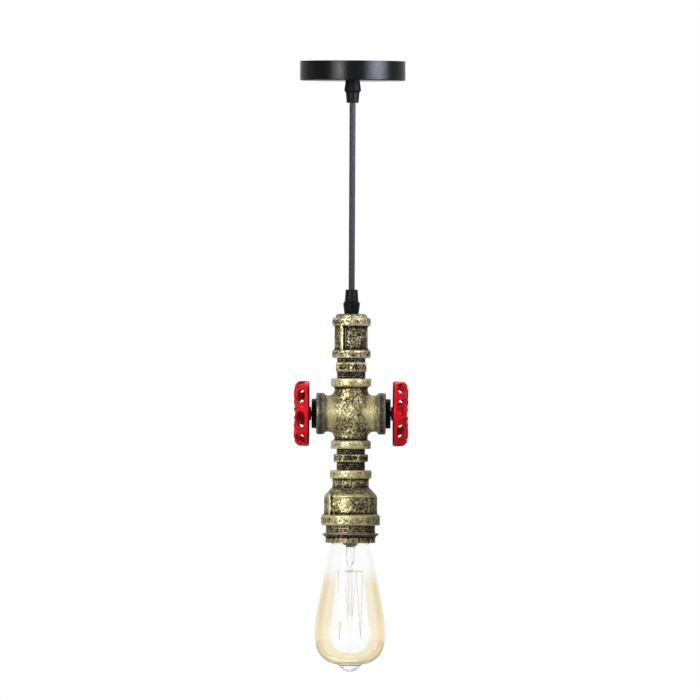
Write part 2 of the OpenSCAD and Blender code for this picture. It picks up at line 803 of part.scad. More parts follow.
// Nipple between the cross and the reducer, with a face of its hexagon to the front
module lower_nipple() {
    color("#4a3f35") nipple(z_lower_nipple + engagement, z_lower_hex, z_lower_hex - lower_hex_h,
                            z_reducer - engagement, 0);
}

// One straight run of the cross, with a band at each end, along its own Z
module cross_run(r, band_r, reach) {
    turned(concat(
        [[0, reach]], band(band_r, reach, reach - cross_band_h),
        [[r, reach - cross_band_h - band_fillet], [r, -reach + cross_band_h + band_fillet]],
        band(band_r, -reach + cross_band_h, -reach), [[0, -reach]]
    ));
}

// The flat webs that fill the four corners of the cross
module cross_web() {
    corner = [cross_arm_d / 2 + cross_fillet - free_gap, cross_side_d / 2 + cross_fillet - free_gap];
    rotate([90, 0, 0]) linear_extrude(height = cross_arm_d / 2, center = true) difference() {
        square(2 * corner, center = true);
        for (x = [-1, 1]) for (y = [-1, 1])
            translate([x * corner[0], y * corner[1]]) circle(r = cross_fillet);
    }
}

// The threaded mouths and the waterway along one run of the cross
module cross_bore(reach) {
    rod(waterway_d / 2, reach + over, -reach - over);
    for (side = [-1, 1])
        translate([0, 0, side * (reach - pipe_depth / 2 + over / 2)])
            cylinder(r = pipe_bore_r, h = pipe_depth + over, center = true);
}

// The cast cross that carries the handwheels
module cross_fitting() {
    color("#8a7e4c") translate([0, 0, z_cross]) difference() {
        union() {
            cross_run(cross_arm_d / 2, cross_band_d / 2, cross_reach_z);
            rotate([0, 90, 0]) cross_run(cross_side_d / 2, cross_side_band_d / 2, cross_reach_x);
            cross_web();
        }
        cross_bore(cross_reach_z);
        rotate([0, 90, 0]) cross_bore(cross_reach_x);
    }
}

// A black plug in a side arm, bored for the handwheel's stem
module side_plug(side) {
    r = side_plug_d / 2;
    bore_r = stem_d / 2 + stem_play;
    color("#2a2f2b") on_side(side) turned(concat(
        [[bore_r, cross_reach_x + side_plug_w], [r - plug_face_bevel, cross_reach_x + side_plug_w],
         [r, cross_reach_x + side_plug_w - plug_face_bevel], [r, cross_reach_x]],
        thread(pipe_r, pipe_thread_depth, pipe_thread_pitch, cross_reach_x, cross_reach_x - engagement),
        [[bore_r, cross_reach_x - engagement]]
    ));
}

// Height of the wheel's outer face at a radius, measured from the skirt's edge
function dome_outline(extra) = concat(
    [[wheel_hub_d / 2, wheel_face - dish + extra], [face_r, wheel_face + extra]],
    arc_outline([face_r, wheel_skirt + extra], [wheel_r - face_r, wheel_face - wheel_skirt], 80, 0,
                arc_steps)
);

// The dished shell of a handwheel, with its hub
module wheel_shell() {
    outer = dome_outline(0);
    half = wheel_wall / 2;
    inner = concat(
        [[wheel_hub_d / 2, wheel_face - dish - wheel_wall], [face_r - half, wheel_face - wheel_wall]],
        arc_outline([face_r - half, wheel_skirt - half],
                    [wheel_r - face_r - half, wheel_face - wheel_skirt - half], 80, 0, arc_steps)
    );
    turned(concat(outer, [[wheel_r, 0], [wheel_r - wheel_wall, 0]], reversed(inner)));
    tube(wheel_hub_d / 2 + seat, stem_d / 2 + seat, hub_face, -hub_lead);
}

// A window through the shoulder of the wheel, square to its slope
module wheel_window() {
    across = wheel_r - face_r;
    upward = wheel_face - wheel_skirt;
    slope = atan2(sin(window_rise) / upward, cos(window_rise) / across);
    depth = 3 * wheel_wall;
    translate([face_r + across * cos(window_rise), 0, wheel_skirt + upward * sin(window_rise)])
    rotate([0, 90 - slope, 0]) {
        cube([window_w, window_l - window_w, depth], center = true);
        for (end = [-1, 1]) translate([0, end * (window_l - window_w) / 2, 0])
            cylinder(d = window_w, h = depth, center = true, $fn = 32);
    }
}

// A raised rib from the hub over the shoulder of the wheel
module wheel_rib() {
    top = dome_outline(wheel_rib_h);
    low = dome_outline(-root_in);
    rotate([90, 0, 0]) translate([0, 0, -wheel_rib_w / 2]) linear_extrude(height = wheel_rib_w)
        polygon(concat(
            [for (p = top) if (p[0] < wheel_r - wheel_rib_h / 2) p],
            reversed([for (p = low) if (p[0] < wheel_r - wheel_rib_h / 2) p])
        ));
}

// A cast handwheel on its side of the cross
module handwheel(side) {
    color("#c0212b") on_side(side) translate([0, 0, wheel_x]) {
        difference() {
            union() {
                wheel_shell();
                difference() {
                    for (i = [0 : wheel_rib_count - 1])
                        rotate([0, 0, rib_start + 360 * i / wheel_rib_count]) wheel_rib();
                    rod(wheel_hub_d / 2, wheel_depth + over, -over);
                }
            }
            for (i = [0 : wheel_rib_count - 1])
                rotate([0, 0, rib_start + 360 * (i + 1 / 2) / wheel_rib_count]) wheel_window();
        }
    }
}

// The stem that turns with a wheel, with the clip that keeps it in the side plug
module stem(side) {
    inner = cross_reach_x - engagement;
    color("#8d8f92") on_side(side) {
        rod(stem_d / 2, wheel_x + wheel_face - stem_back, inner - free_gap - 2 * clip_t);
        rod(stem_d / 2 + clip_wall, inner - free_gap, inner - free_gap - clip_t);
    }
}

// The nut that holds a wheel on its stem
module wheel_nut(side) {
    color("#9b9da0") on_side(side) translate([0, 0, wheel_x + hub_face]) difference() {
        hexagon(nut_af, nut_h, 0);
        rod(stem_d / 2 + seat, nut_h + over, -over);
    }
}

// The bell-shaped reducer over the lampholder
module reducer() {
    band_r = reducer_band_d / 2;
    neck_r = reducer_neck_d / 2;
    body_r = reducer_body_d / 2;
    rim_r = reducer_rim_d / 2;
    inner_r = body_r - reducer_wall;
    slope = atan2(body_r - neck_r, reducer_shoulder_h);
    corner = [body_r - reducer_corner, z_reducer_body - reducer_corner * tan(slope / 2)];
    color("#857a48") difference() {
        union() {
            turned(concat(
                [[0, z_reducer]], band(band_r, z_reducer, z_reducer_neck),
                [[neck_r, z_reducer_neck - band_fillet], [neck_r, z_reducer_shoulder]],
                arc_outline(corner, [reducer_corner, reducer_corner], slope, 0, 5),
                [[body_r, z_reducer_rim + band_fillet]],
                band(rim_r, z_reducer_rim, z_collar), [[0, z_collar]]
            ));
            casting_ribs(body_r + band_chamfer, reducer_rib_w, z_reducer_body, z_reducer_rim - band_chamfer,
                         reducer_rib_turn);
        }
        rod(pipe_bore_r, z_reducer + over, z_reducer - pipe_depth);
        turned([
            [0, z_reducer - pipe_depth + over], [waterway_d / 2, z_reducer - pipe_depth + over],
            [waterway_d / 2, z_reducer_shoulder + reducer_wall / 2], [inner_r, z_reducer_body],
            [inner_r, core_flange_z + seat], [0, core_flange_z + seat]
        ]);
        rod(collar_r + seat, core_flange_z + 2 * seat, z_collar - over);
    }
}

// The threaded collar between the reducer and the shade ring, with a key on its front
module holder_collar() {
    end_r = collar_end_d / 2;
    bore_r = core_body_d / 2 + seat;
    foot = z_ring_end + skirt_h / 3;
    color("#6e6236") union() {
        turned(concat(
            [[bore_r, core_flange_z]],
            thread(collar_r, pipe_thread_depth, pipe_thread_pitch, core_flange_z, z_ring),
            [[end_r, z_ring], [end_r, foot], [bore_r, foot]]
        ));
        translate([-key_w / 2 - key_w / 3, -collar_r - pipe_thread_depth / 3, z_ring + seat])
            cube([key_w, pipe_thread_depth + root_in, collar_show_h - 2 * seat]);
    }
}

// The shade ring screwed on the collar, with a sharp flange and a slotted skirt
module shade_ring() {
    bore_r = collar_end_d / 2 + seat;
    r = flange_d / 2;
    skirt_r = skirt_d / 2;
    slot_depth = (skirt_r - bore_r) / 2;
    color("#94874f") difference() {
        turned([
            [bore_r, z_ring], [r - flange_h / 3, z_ring], [r, z_ring - flange_h / 3],
            [r - flange_h / 4, z_ring - flange_h / 2], [skirt_r, z_ring_skirt],
            [skirt_r, z_ring_end], [bore_r, z_ring_end]
        ]);
        for (i = [0 : skirt_slots - 1])
            rotate([0, 0, 360 * i / skirt_slots])
                translate([skirt_r - slot_depth, -key_w / 3, z_ring_end - over])
                    cube([slot_depth + over, key_w * 2 / 3, skirt_h * 0.8 + over]);
    }
}

// The black insulating core of the lampholder, hanging by its flange on the collar
module lampholder_core() {
    r = core_body_d / 2;
    color("#1d1d1f") difference() {
        turned([
            [0, core_high], [core_top_d / 2, core_high], [core_top_d / 2, core_flange_z + core_flange_t],
            [core_flange_d / 2, core_flange_z + core_flange_t], [core_flange_d / 2, core_flange_z],
            [r, core_flange_z], [r, core_low], [0, core_low]
        ]);
        rod(shell_seat_r, cavity_floor, core_low - over);
        rod(cavity_r, glass_top + cap_rim_h + free_gap, core_low - over);
    }
}

// The brass shell that the bulb screws into
module screw_shell() {
    color("#c9a659") tube(shell_outer_r, screw_shell_bore_d / 2, cavity_floor - seat,
                          glass_top + cap_rim_h + 2 * free_gap);
}

// The contact strip on the floor of the lampholder
module centre_contact() {
    color("#c9a659") translate([-tip_d / 2, -tip_d / 4, cavity_floor - contact_t])
        cube([tip_d, tip_d / 2, contact_t]);
}

// Three brass terminals on the core's top, each with its screw
module holder_terminals() {
    color("#c9a659") for (turn = [180, 0, 90]) rotate([0, 0, turn]) translate([terminal_r, 0, core_high]) {
        translate([-terminal_size[0] / 2, -terminal_size[1] / 2, 0]) cube(terminal_size);
        translate([terminal_size[0] / 4, 0, 0])
            rod(terminal_screw_d / 2, terminal_size[2] + core_r, terminal_size[2] / 2);
    }
}

// One core in the reducer, from the sheath's end to a terminal
module lamp_core(turn) {
    drop = sheath_end - core_high - terminal_size[2];
    path = aimed(core_down, [-terminal_r + terminal_size[0] / 4, 0, -drop]);
    rotate([0, 0, turn]) translate([0, 0, sheath_end]) swept(path, core_r, 8, same([0, 1, 0], path));
}

module lamp_live_core() {
    color("#6a3b1f") lamp_core(0);
}

module lamp_neutral_core() {
    color("#2f62a8") lamp_core(180);
}

module lamp_earth_core() {
    color("#7fa63a") lamp_core(270);
}

// The tip contact, which travels with the bulb
module bulb_tip() {
    color("#c8c9cb") rod(tip_d / 2, tip_z, tip_z - tip_h);
}

// The threaded cap of the bulb, as a thin shell
module bulb_cap() {
    wall = 2 * screw_shell_t;
    rim_r = cap_rim_d / 2;
    thread_foot = glass_top + cap_rim_h;
    inner_r = cap_d / 2 - cap_thread_depth - wall;
    color("#c2a24c") turned(concat(
        [[inner_r, cap_thread_top]],
        thread(cap_d / 2, cap_thread_depth, cap_pitch, cap_thread_top, thread_foot),
        [[rim_r - wall, thread_foot], [rim_r, thread_foot - wall], [rim_r, glass_top], [inner_r, glass_top]]
    ));
}

// The black insulator between the cap and the tip contact
module cap_insulator() {
    color("#16161a") turned([
        [0, tip_z - tip_h - seat], [tip_d / 2, tip_z - tip_h - seat],
        [cap_d / 2 - cap_thread_depth - seat, cap_thread_top + seat], [0, cap_thread_top + seat]
    ]);
}

// The glass envelope, with the pip on its end
module bulb_glass() {
    r = bulb_d / 2;
    pip_at = [for (s = pip_shares) [s[0] * pip_d / 2, glass_top - glass_h - s[1] * pip_h]];
    outer = concat([for (s = glass_shares) [s[0] * r, glass_top - s[1] * glass_h]], pip_at);
    color([0.95, 0.85, 0.6, 0.35]) turned(concat(outer, reversed(inset(outer, glass_t))));
}

// The glass mount inside the bulb
module glass_stem() {
    flare_r = glass_shares[0][0] * bulb_d / 2 - glass_t - 2 * seat;
    tube_r = 2 * mount_r;
    color([0.9, 0.9, 0.85, 0.5]) turned([
        [0, glass_top - seat], [flare_r, glass_top - seat], [flare_r, glass_top - glass_t],
        [tube_r, glass_top - glass_h * mount_shares[0]], [tube_r, glass_top - glass_h * mount_shares[1]],
        [mount_r, glass_top - glass_h * mount_shares[2]], [mount_r, glass_top - glass_h * mount_shares[3]],
        [0, glass_top - glass_h * mount_shares[3]]
    ]);
}

// The wires that carry the filament, in a ring round the mount
module filament_supports() {
    inner_r = mount_r + seat;
    color("#b99b5a") {
        for (i = [0 : filament_loops - 1]) rotate([0, 0, 360 * i / filament_loops])
            translate([inner_r + support_d / 2, 0, cage_top]) rotate([0, 90, 0])
                cylinder(d = support_d, h = cage_r - inner_r, $fn = 16);
        tube(inner_r + support_d, inner_r, cage_top + support_d, cage_top - support_d);
    }
}

// The filament, hung in tall loops between the upper and lower supports
module filament() {
    wire_r = support_d / 3;
    corners = 2 * filament_loops;
    high = cage_top - support_d / 2 - wire_r;
    path = [
        for (i = [0 : 2 * corners - 2])
            let (a = 180 * i / corners, turn_z = i % 4 == 0 ? high : cage_low)
            [cage_r * cos(a), cage_r * sin(a), i % 2 == 1 ? (high + cage_low) / 2 : turn_z]
    ];
    color("#caa868") swept(path, wire_r, 6, [for (p = path) [p[0], p[1], 0]]);
}

canopy_cup();
ceiling_bracket();
cup_screws();
earth_screw();
terminal_housing();
terminal_barrels();
terminal_screws();
canopy_grip_base();
canopy_grip_cap();
canopy_lock_nut();
canopy_sheath();
canopy_live_core();
canopy_neutral_core();
canopy_earth_core();
earth_link();
cord_bend();
cord_top();
pendant_cord();
lamp_sheath();
lamp_grip_cap();
lamp_grip_base();
lamp_lock_nut();
top_plug();
coupling();
upper_nipple();
cross_fitting();  // cross
side_plug(-1);  // side_plug_left
side_plug(1);  // side_plug_right
lower_nipple();
reducer();
holder_collar();
shade_ring();
lampholder_core();
screw_shell();
centre_contact();
holder_terminals();
lamp_live_core();
lamp_neutral_core();
lamp_earth_core();
handwheel(-1);  // handwheel_left
stem(-1);  // stem_left
wheel_nut(-1);  // wheel_nut_left
handwheel(1);  // handwheel_right
stem(1);  // stem_right
wheel_nut(1);  // wheel_nut_right
bulb_tip();
bulb_cap();
cap_insulator();
bulb_glass();
glass_stem();
filament_supports();
filament();
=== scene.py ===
"""Looks of the pipe pendant light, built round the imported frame.

Each sub-assembly is a class that makes its pieces with mesh operators and dresses them, each finish is a
small class, and main() builds them in order. Lengths are millimetres, but metres in Studio and Lamp.
"""
import sys

import json
import logging
import math
from dataclasses import dataclass
from enum import Enum
from typing import Callable, ClassVar, Sequence

import bmesh
import bpy
import numpy as np
from mathutils import Matrix, Vector, noise


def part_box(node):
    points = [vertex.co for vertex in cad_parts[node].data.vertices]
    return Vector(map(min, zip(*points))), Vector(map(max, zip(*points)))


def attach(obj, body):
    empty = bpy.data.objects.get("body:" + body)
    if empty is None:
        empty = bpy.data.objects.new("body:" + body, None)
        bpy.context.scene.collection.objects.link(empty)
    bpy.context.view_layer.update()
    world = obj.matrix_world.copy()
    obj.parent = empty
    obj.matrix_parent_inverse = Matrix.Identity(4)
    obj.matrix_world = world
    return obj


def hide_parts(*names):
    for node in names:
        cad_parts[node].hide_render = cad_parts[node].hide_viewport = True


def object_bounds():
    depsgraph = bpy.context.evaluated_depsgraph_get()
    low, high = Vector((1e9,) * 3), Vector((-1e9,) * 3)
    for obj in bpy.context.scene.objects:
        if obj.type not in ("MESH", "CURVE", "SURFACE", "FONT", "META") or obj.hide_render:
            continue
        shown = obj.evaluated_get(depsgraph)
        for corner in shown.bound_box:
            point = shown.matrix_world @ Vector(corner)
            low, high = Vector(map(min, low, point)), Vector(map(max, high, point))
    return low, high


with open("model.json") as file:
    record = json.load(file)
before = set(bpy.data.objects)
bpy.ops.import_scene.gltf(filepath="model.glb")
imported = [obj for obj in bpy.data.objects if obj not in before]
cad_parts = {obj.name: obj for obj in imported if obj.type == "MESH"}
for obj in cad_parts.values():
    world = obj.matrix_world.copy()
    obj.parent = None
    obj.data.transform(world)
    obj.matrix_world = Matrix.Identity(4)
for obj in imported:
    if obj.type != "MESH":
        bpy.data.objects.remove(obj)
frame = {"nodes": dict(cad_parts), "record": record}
CAD_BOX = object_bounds()
LOG = logging.getLogger("pipe_pendant")
MM = 0.001
FULL_TURN = 2 * math.pi
# What the castings store at each point for the finishes to read.
PROUD = "proud"
POLISH = "polish"
# Tarnish on the brass fittings; on the handwheels' skirt edges it marks painted shade.
TARNISH_AND_SHADE = "tarnish"
WHITE = (1, 1, 1, 1)
# The cast fittings' bore and the threads' pitch, in millimetres.
WATERWAY = 13.35
PITCH = 1.8
Pair = tuple[float, float]
Triple = tuple[float, float, float]
Corners = list[Pair]
Relief = Callable[[Vector], float]
Shape = bmesh.types.BMesh
Sockets = bpy.types.bpy_prop_collection


class Side(Enum):
    """The two ends of the cross's side arms."""

    LEFT = -1
    RIGHT = 1

    @property
    def word(self) -> str:
        """The side's name, as the nodes and bodies use it."""
        return self.name.lower()


@dataclass(frozen=True)
class Extent:
    """Where a node lies at rest, in millimetres."""

    low: Vector
    high: Vector

    @classmethod
    def of(cls, node: str) -> "Extent":
        """Read a CAD node's box from the frame."""
        low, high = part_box(node)
        return cls(low / MM, high / MM)

    @property
    def top(self) -> float:
        """Height of the upper end."""
        return self.high.z

    @property
    def foot(self) -> float:
        """Height of the lower end."""
        return self.low.z

    @property
    def middle(self) -> float:
        """Height half way up."""
        return (self.top + self.foot) / 2

    @property
    def half_height(self) -> float:
        """Half of the height."""
        return (self.top - self.foot) / 2

    @property
    def radius(self) -> float:
        """Half of the width along X."""
        return (self.high.x - self.low.x) / 2


def srgb(code: str) -> tuple[float, float, float, float]:
    """Turn a web colour into linear red, green, blue and alpha.

    Args:
        code: Colour such as "#c41f2b".

    Returns:
        The linear colour that a shader socket takes.
    """
    shares = [int(code[i:i + 2], 16) / 255 for i in (1, 3, 5)]
    linear = [s / 12.92 if s <= 0.04045 else ((s + 0.055) / 1.055) ** 2.4 for s in shares]
    return linear[0], linear[1], linear[2], 1.0


def held(share: float) -> float:
    """Keep a number between 0 and 1."""
    return min(max(share, 0), 1)


class Graph:
    """Adds and links the nodes of one shader tree."""

    def __init__(self, tree: bpy.types.NodeTree) -> None:
        """Keep the tree that nodes are added to."""
        self.tree = tree

    def add(self, kind: str, inputs: dict | None = None, **settings: object) -> bpy.types.Node:
        """Add a node.

        Args:
            kind: The node's type name.
            inputs: Values or output sockets for its inputs, by name or number.
            settings: Properties of the node.

        Returns:
            The new node.
        """
        node = self.tree.nodes.new(kind)
        for name, value in settings.items():
            setattr(node, name, value)
        for name, value in (inputs or {}).items():
            self.feed(node, name, value)
        return node

    def feed(self, node: bpy.types.Node, name: str | int, value: object) -> None:
        """Set an input to a value, or link it to an output socket.

        Args:
            node: The node.
            name: Name or number of its input.
            value: The value, or the output socket to link.
        """
        if isinstance(value, bpy.types.NodeSocket):
            self.tree.links.new(value, node.inputs[name])
        else:
            node.inputs[name].default_value = value

    def combined(self, first: object, second: object, operation: str = "ADD") -> object:
        """Combine two numbers, each a socket or a value, and return the result's socket."""
        return self.add("ShaderNodeMath", {0: first, 1: second}, operation=operation).outputs[0]

    def times(self, first: object, second: object) -> object:
        """Multiply two numbers."""
        return self.combined(first, second, "MULTIPLY")

    def swing(self, value: object, weight: float) -> object:
        """Weigh how far a number lies from one half."""
        return self.times(self.combined(value, 0.5, "SUBTRACT"), weight)

    def spread(self, value: object, low: float, high: float, to_low: float = 0, to_high: float = 1) -> object:
        """Map a number smoothly from one range to another, kept inside it."""
        node = self.add(
            "ShaderNodeMapRange",
            {"Value": value, "From Min": low, "From Max": high, "To Min": to_low, "To Max": to_high},
            interpolation_type="SMOOTHSTEP",
        )
        return node.outputs["Result"]

    def blend(self, share: object, first: object, second: object) -> object:
        """Mix two colours by a share and return the mixed colour's socket."""
        node = self.add("ShaderNodeMix", {"Factor": share, 6: first, 7: second}, data_type="RGBA")
        return node.outputs[2]

    def shader_mix(self, share: object, first: bpy.types.Node, second: bpy.types.Node) -> object:
        """Mix two shaders by a share and return the mixed shader's socket."""
        ends = {0: share, 1: first.outputs[0], 2: second.outputs[0]}
        return self.add("ShaderNodeMixShader", ends).outputs[0]

    def noise(self, place: object, scale: object, detail: float, roughness: float = 0.5) -> object:
        """Add a noise texture and return its value's socket."""
        settings = {"Vector": place, "Scale": scale, "Detail": detail, "Roughness": roughness}
        return self.add("ShaderNodeTexNoise", settings).outputs["Fac"]

    def stored(self, name: str) -> object:
        """Return the socket of a value that the mesh stores."""
        return self.add("ShaderNodeAttribute", attribute_name=name).outputs["Fac"]

    def place(self) -> object:
        """Return the Object coordinates' socket."""
        return self.add("ShaderNodeTexCoord").outputs["Object"]

    def facing(self) -> object:
        """Return the socket that says how far the surface turns away from the eye."""
        return self.add("ShaderNodeLayerWeight", {"Blend": 0.5}).outputs["Facing"]

    def bump(self, shader: bpy.types.Node, height: object, depth: float) -> None:
        """Give a shader relief: a height from 0 to 1, and its depth in millimetres."""
        bump = self.add("ShaderNodeBump", {"Strength": 1.0, "Distance": depth * MM, "Height": height})
        self.feed(shader, "Normal", bump.outputs["Normal"])


class EffectGroup:
    """A shader node group, built once and used by several finishes.

    An input's default says what the input takes: a number, a colour, or a vector where it is None. The
    output called Color gives a colour, and any other one a number.
    """

    name: str = ""
    inputs: dict[str, object] = {}
    outputs: tuple[str, ...] = ()

    @classmethod
    def tree(cls) -> bpy.types.NodeTree:
        """Build the group's tree the first time, and find it again later.

        Returns:
            The tree.
        """
        found = bpy.data.node_groups.get(cls.name)
        if found is not None:
            return found
        tree = bpy.data.node_groups.new(cls.name, "ShaderNodeTree")
        kinds = {float: "NodeSocketFloat", tuple: "NodeSocketColor", type(None): "NodeSocketVector"}
        for name, value in cls.inputs.items():
            socket = tree.interface.new_socket(name, in_out="INPUT", socket_type=kinds[type(value)])
            if value is not None:
                socket.default_value = value
        for name in cls.outputs:
            kind = kinds[tuple if name == "Color" else float]
            tree.interface.new_socket(name, in_out="OUTPUT", socket_type=kind)
        graph = Graph(tree)
        given, result = graph.add("NodeGroupInput").outputs, graph.add("NodeGroupOutput")
        for name, value in cls.fill(graph, given).items():
            graph.feed(result, name, value)
        return tree

    @classmethod
    def fill(cls, graph: Graph, given: Sockets) -> dict[str, object]:
        """Put the group's nodes behind its inputs.

        Args:
            graph: The group's graph.
            given: The group's inputs, by name.

        Returns:
            What each output gives.
        """
        raise NotImplementedError

    @classmethod
    def place(cls, graph: Graph, inputs: dict) -> Sockets:
        """Add the group to a material.

        Args:
            graph: The material's graph.
            inputs: Values or sockets for the group's inputs.

        Returns:
            The group node's outputs.
        """
        return graph.add("ShaderNodeGroup", inputs, node_tree=cls.tree()).outputs


class CastGrain(EffectGroup):
    """Sand-cast skin: broad clouds, fine grain and small pits."""

    name = "cast_grain"
    inputs = {
        "Vector": None,
        "Cloud Scale": 110.0,
        "Grain Scale": 700.0,
    }
    outputs = ("Cloud", "Grain", "Height")
    pit_walls: Pair = (0.05, 0.55)

    @classmethod
    def fill(cls, graph: Graph, given: Sockets) -> dict[str, object]:
        """Mix two noises and a cell pattern.

        Args:
            graph: The group's graph.
            given: The group's inputs, by name.

        Returns:
            What each output gives.
        """
        place = given["Vector"]
        grain = graph.noise(place, given["Grain Scale"], 3.0, 0.7)
        pits = graph.add("ShaderNodeTexVoronoi", {"Vector": place, "Scale": given["Grain Scale"]})
        pit_floor = graph.spread(pits.outputs["Distance"], *cls.pit_walls)
        cloud = graph.noise(place, given["Cloud Scale"], 4.0, 0.62)
        return {"Cloud": cloud, "Grain": grain, "Height": graph.times(grain, pit_floor)}


class DryBrush(EffectGroup):
    """Pale metallic paint caught on what stands proud, over a dark ground."""

    name = "dry_brush"
    inputs = {
        "Proud": 0.5,
        "Cloud": 0.5,
        "Grain": 0.5,
        "Cover": 0.5,
        "Polish": 0.0,
        "Tarnish": 0.0,
        "Dark": (0.03, 0.02, 0.02, 1),
        "Middle": (0.3, 0.25, 0.1, 1),
        "Light": (0.8, 0.7, 0.4, 1),
    }
    outputs = ("Color", "Roughness", "Metallic")
    proud_weight: float = 1.5
    cloud_weight: float = 1.3
    grain_weight: float = 3.2
    polish_calm: float = -0.75
    polish_lift: float = 0.3
    tarnish_drop: float = -0.75
    tarnish_grey: float = -0.4
    middle_levels: Pair = (-0.1, 0.45)
    light_levels: Pair = (0.3, 1.1)
    gloss_levels: tuple[float, ...] = (-0.2, 0.9, 0.6, 0.37)
    metal_levels: tuple[float, ...] = (0.0, 0.7, 0.3, 1.0)

    @classmethod
    def fill(cls, graph: Graph, given: Sockets) -> dict[str, object]:
        """Turn the proudness, broken by the grain, into three tones; polish calms it, tarnish greys it.

        Args:
            graph: The group's graph.
            given: The group's inputs, by name.

        Returns:
            What each output gives.
        """
        polish, tarnish = given["Polish"], given["Tarnish"]
        broken = graph.combined(graph.times(polish, cls.polish_calm), 1.0)
        cloud = graph.swing(given["Cloud"], cls.cloud_weight)
        grain = graph.swing(given["Grain"], cls.grain_weight)
        rise = graph.swing(given["Proud"], cls.proud_weight)
        level = graph.combined(rise, graph.times(graph.combined(cloud, grain), broken))
        level = graph.combined(level, given["Cover"])
        level = graph.combined(level, graph.times(polish, cls.polish_lift))
        level = graph.combined(level, graph.times(tarnish, cls.tarnish_drop))
        tone = graph.blend(graph.spread(level, *cls.middle_levels), given["Dark"], given["Middle"])
        tone = graph.blend(graph.spread(level, *cls.light_levels), tone, given["Light"])
        colour = graph.combined(graph.times(tarnish, cls.tarnish_grey), 1.0)
        grey = graph.add("ShaderNodeHueSaturation", {"Color": tone, "Saturation": colour})
        return {
            "Color": grey.outputs["Color"],
            "Roughness": graph.spread(level, *cls.gloss_levels),
            "Metallic": graph.spread(level, *cls.metal_levels),
        }


class FineWear(EffectGroup):
    """Slow drift of tone with small scuffs, for paint, plastic and plain metal."""

    name = "fine_wear"
    inputs = {
        "Vector": None,
        "Scale": 300.0,
        "Base": (0.5, 0.5, 0.5, 1),
        "Shade": (0.3, 0.3, 0.3, 1),
        "Gloss Low": 0.3,
        "Gloss High": 0.45,
    }
    outputs = ("Color", "Roughness", "Height")
    drift: Pair = (0.3, 0.7)
    scuff_scale: float = 6.0

    @classmethod
    def fill(cls, graph: Graph, given: Sockets) -> dict[str, object]:
        """Use one noise for tone and gloss, and a finer one for the height.

        Args:
            graph: The group's graph.
            given: The group's inputs, by name.

        Returns:
            What each output gives.
        """
        place, scale = given["Vector"], given["Scale"]
        share = graph.spread(graph.noise(place, scale, 5.0), *cls.drift)
        ends = {"Factor": share, "A": given["Gloss High"], "B": given["Gloss Low"]}
        return {
            "Color": graph.blend(share, given["Shade"], given["Base"]),
            "Roughness": graph.add("ShaderNodeMix", ends).outputs["Result"],
            "Height": graph.noise(place, graph.times(scale, cls.scuff_scale), 2.0),
        }


def blank_material(name: str) -> tuple[bpy.types.Material, Graph, bpy.types.Node]:
    """Make a material that holds a Principled shader and its output.

    Args:
        name: The material's name.

    Returns:
        The material, its graph and the shader node.
    """
    material = bpy.data.materials.new(name)
    material.use_nodes = True
    material.node_tree.nodes.clear()
    graph = Graph(material.node_tree)
    shader = graph.add("ShaderNodeBsdfPrincipled")
    graph.add("ShaderNodeOutputMaterial", {"Surface": shader.outputs[0]})
    return material, graph, shader


@dataclass(frozen=True)
class AntiqueFinish:
    """Dark patina with brass brushed over whatever stands proud, less metallic where it turns away."""

    name: str
    dark: str
    middle: str
    light: str
    cover: float
    cloud_scale: float = 110.0
    grain_scale: float = 620.0
    relief: float = 0.22
    proud: float | None = None
    turned_until: float = 0.36
    turned_metal: float = 0.04
    specular: float = 0.1
    sheen_tint: str = "#4a4436"

    def build(self) -> bpy.types.Material:
        """Make the material; where proud is None it is read from the mesh.

        Returns:
            The material.
        """
        material, graph, shader = blank_material(self.name)
        scales = {"Cloud Scale": self.cloud_scale, "Grain Scale": self.grain_scale}
        grain = CastGrain.place(graph, {"Vector": graph.place(), **scales})
        brushed = DryBrush.place(graph, {
            "Proud": graph.stored(PROUD) if self.proud is None else self.proud,
            "Cloud": grain["Cloud"], "Grain": grain["Grain"], "Cover": self.cover,
            "Dark": srgb(self.dark), "Middle": srgb(self.middle), "Light": srgb(self.light),
            "Polish": graph.stored(POLISH), "Tarnish": graph.stored(TARNISH_AND_SHADE),
        })
        turned_away = graph.spread(graph.facing(), 0.0, self.turned_until, 1.0, self.turned_metal)
        graph.feed(shader, "Base Color", brushed["Color"])
        graph.feed(shader, "Roughness", brushed["Roughness"])
        graph.feed(shader, "Metallic", graph.times(brushed["Metallic"], turned_away))
        shader.inputs["Specular IOR Level"].default_value = self.specular
        shader.inputs["Specular Tint"].default_value = srgb(self.sheen_tint)
        graph.bump(shader, grain["Height"], self.relief)
        return material


@dataclass(frozen=True)
class WornFinish:
    """Paint, plastic or plain metal with slight drift of tone and gloss."""

    name: str
    base: str
    shade: str
    gloss: Pair
    metallic: float = 0.0
    scale: float = 260.0
    relief: float = 0.01
    specular: float = 0.4
    sheen_tint: str = "#ffffff"
    recess: str | None = None
    recess_shade_levels: Pair = (0.08, 0.5)

    def build(self) -> bpy.types.Material:
        """Make the material; a recess shade colour paints shade on what the mesh stores as low and on what it
        marks in its tarnish-and-shade value.

        Returns:
            The material.
        """
        material, graph, shader = blank_material(self.name)
        wear = FineWear.place(graph, {
            "Vector": graph.place(), "Scale": self.scale, "Base": srgb(self.base),
            "Shade": srgb(self.shade), "Gloss Low": self.gloss[0], "Gloss High": self.gloss[1],
        })
        tone = wear["Color"]
        # Painted shade: hollows, the windows' insides and marked edges turn to a deep colour as if in shadow.
        if self.recess is not None:
            proud = graph.combined(graph.stored(PROUD), graph.stored(TARNISH_AND_SHADE), "SUBTRACT")
            tone = graph.blend(graph.spread(proud, *self.recess_shade_levels), srgb(self.recess), tone)
        graph.feed(shader, "Base Color", tone)
        graph.feed(shader, "Roughness", wear["Roughness"])
        shader.inputs["Metallic"].default_value = self.metallic
        shader.inputs["Specular IOR Level"].default_value = self.specular
        shader.inputs["Specular Tint"].default_value = srgb(self.sheen_tint)
        graph.bump(shader, wear["Height"], self.relief)
        return material


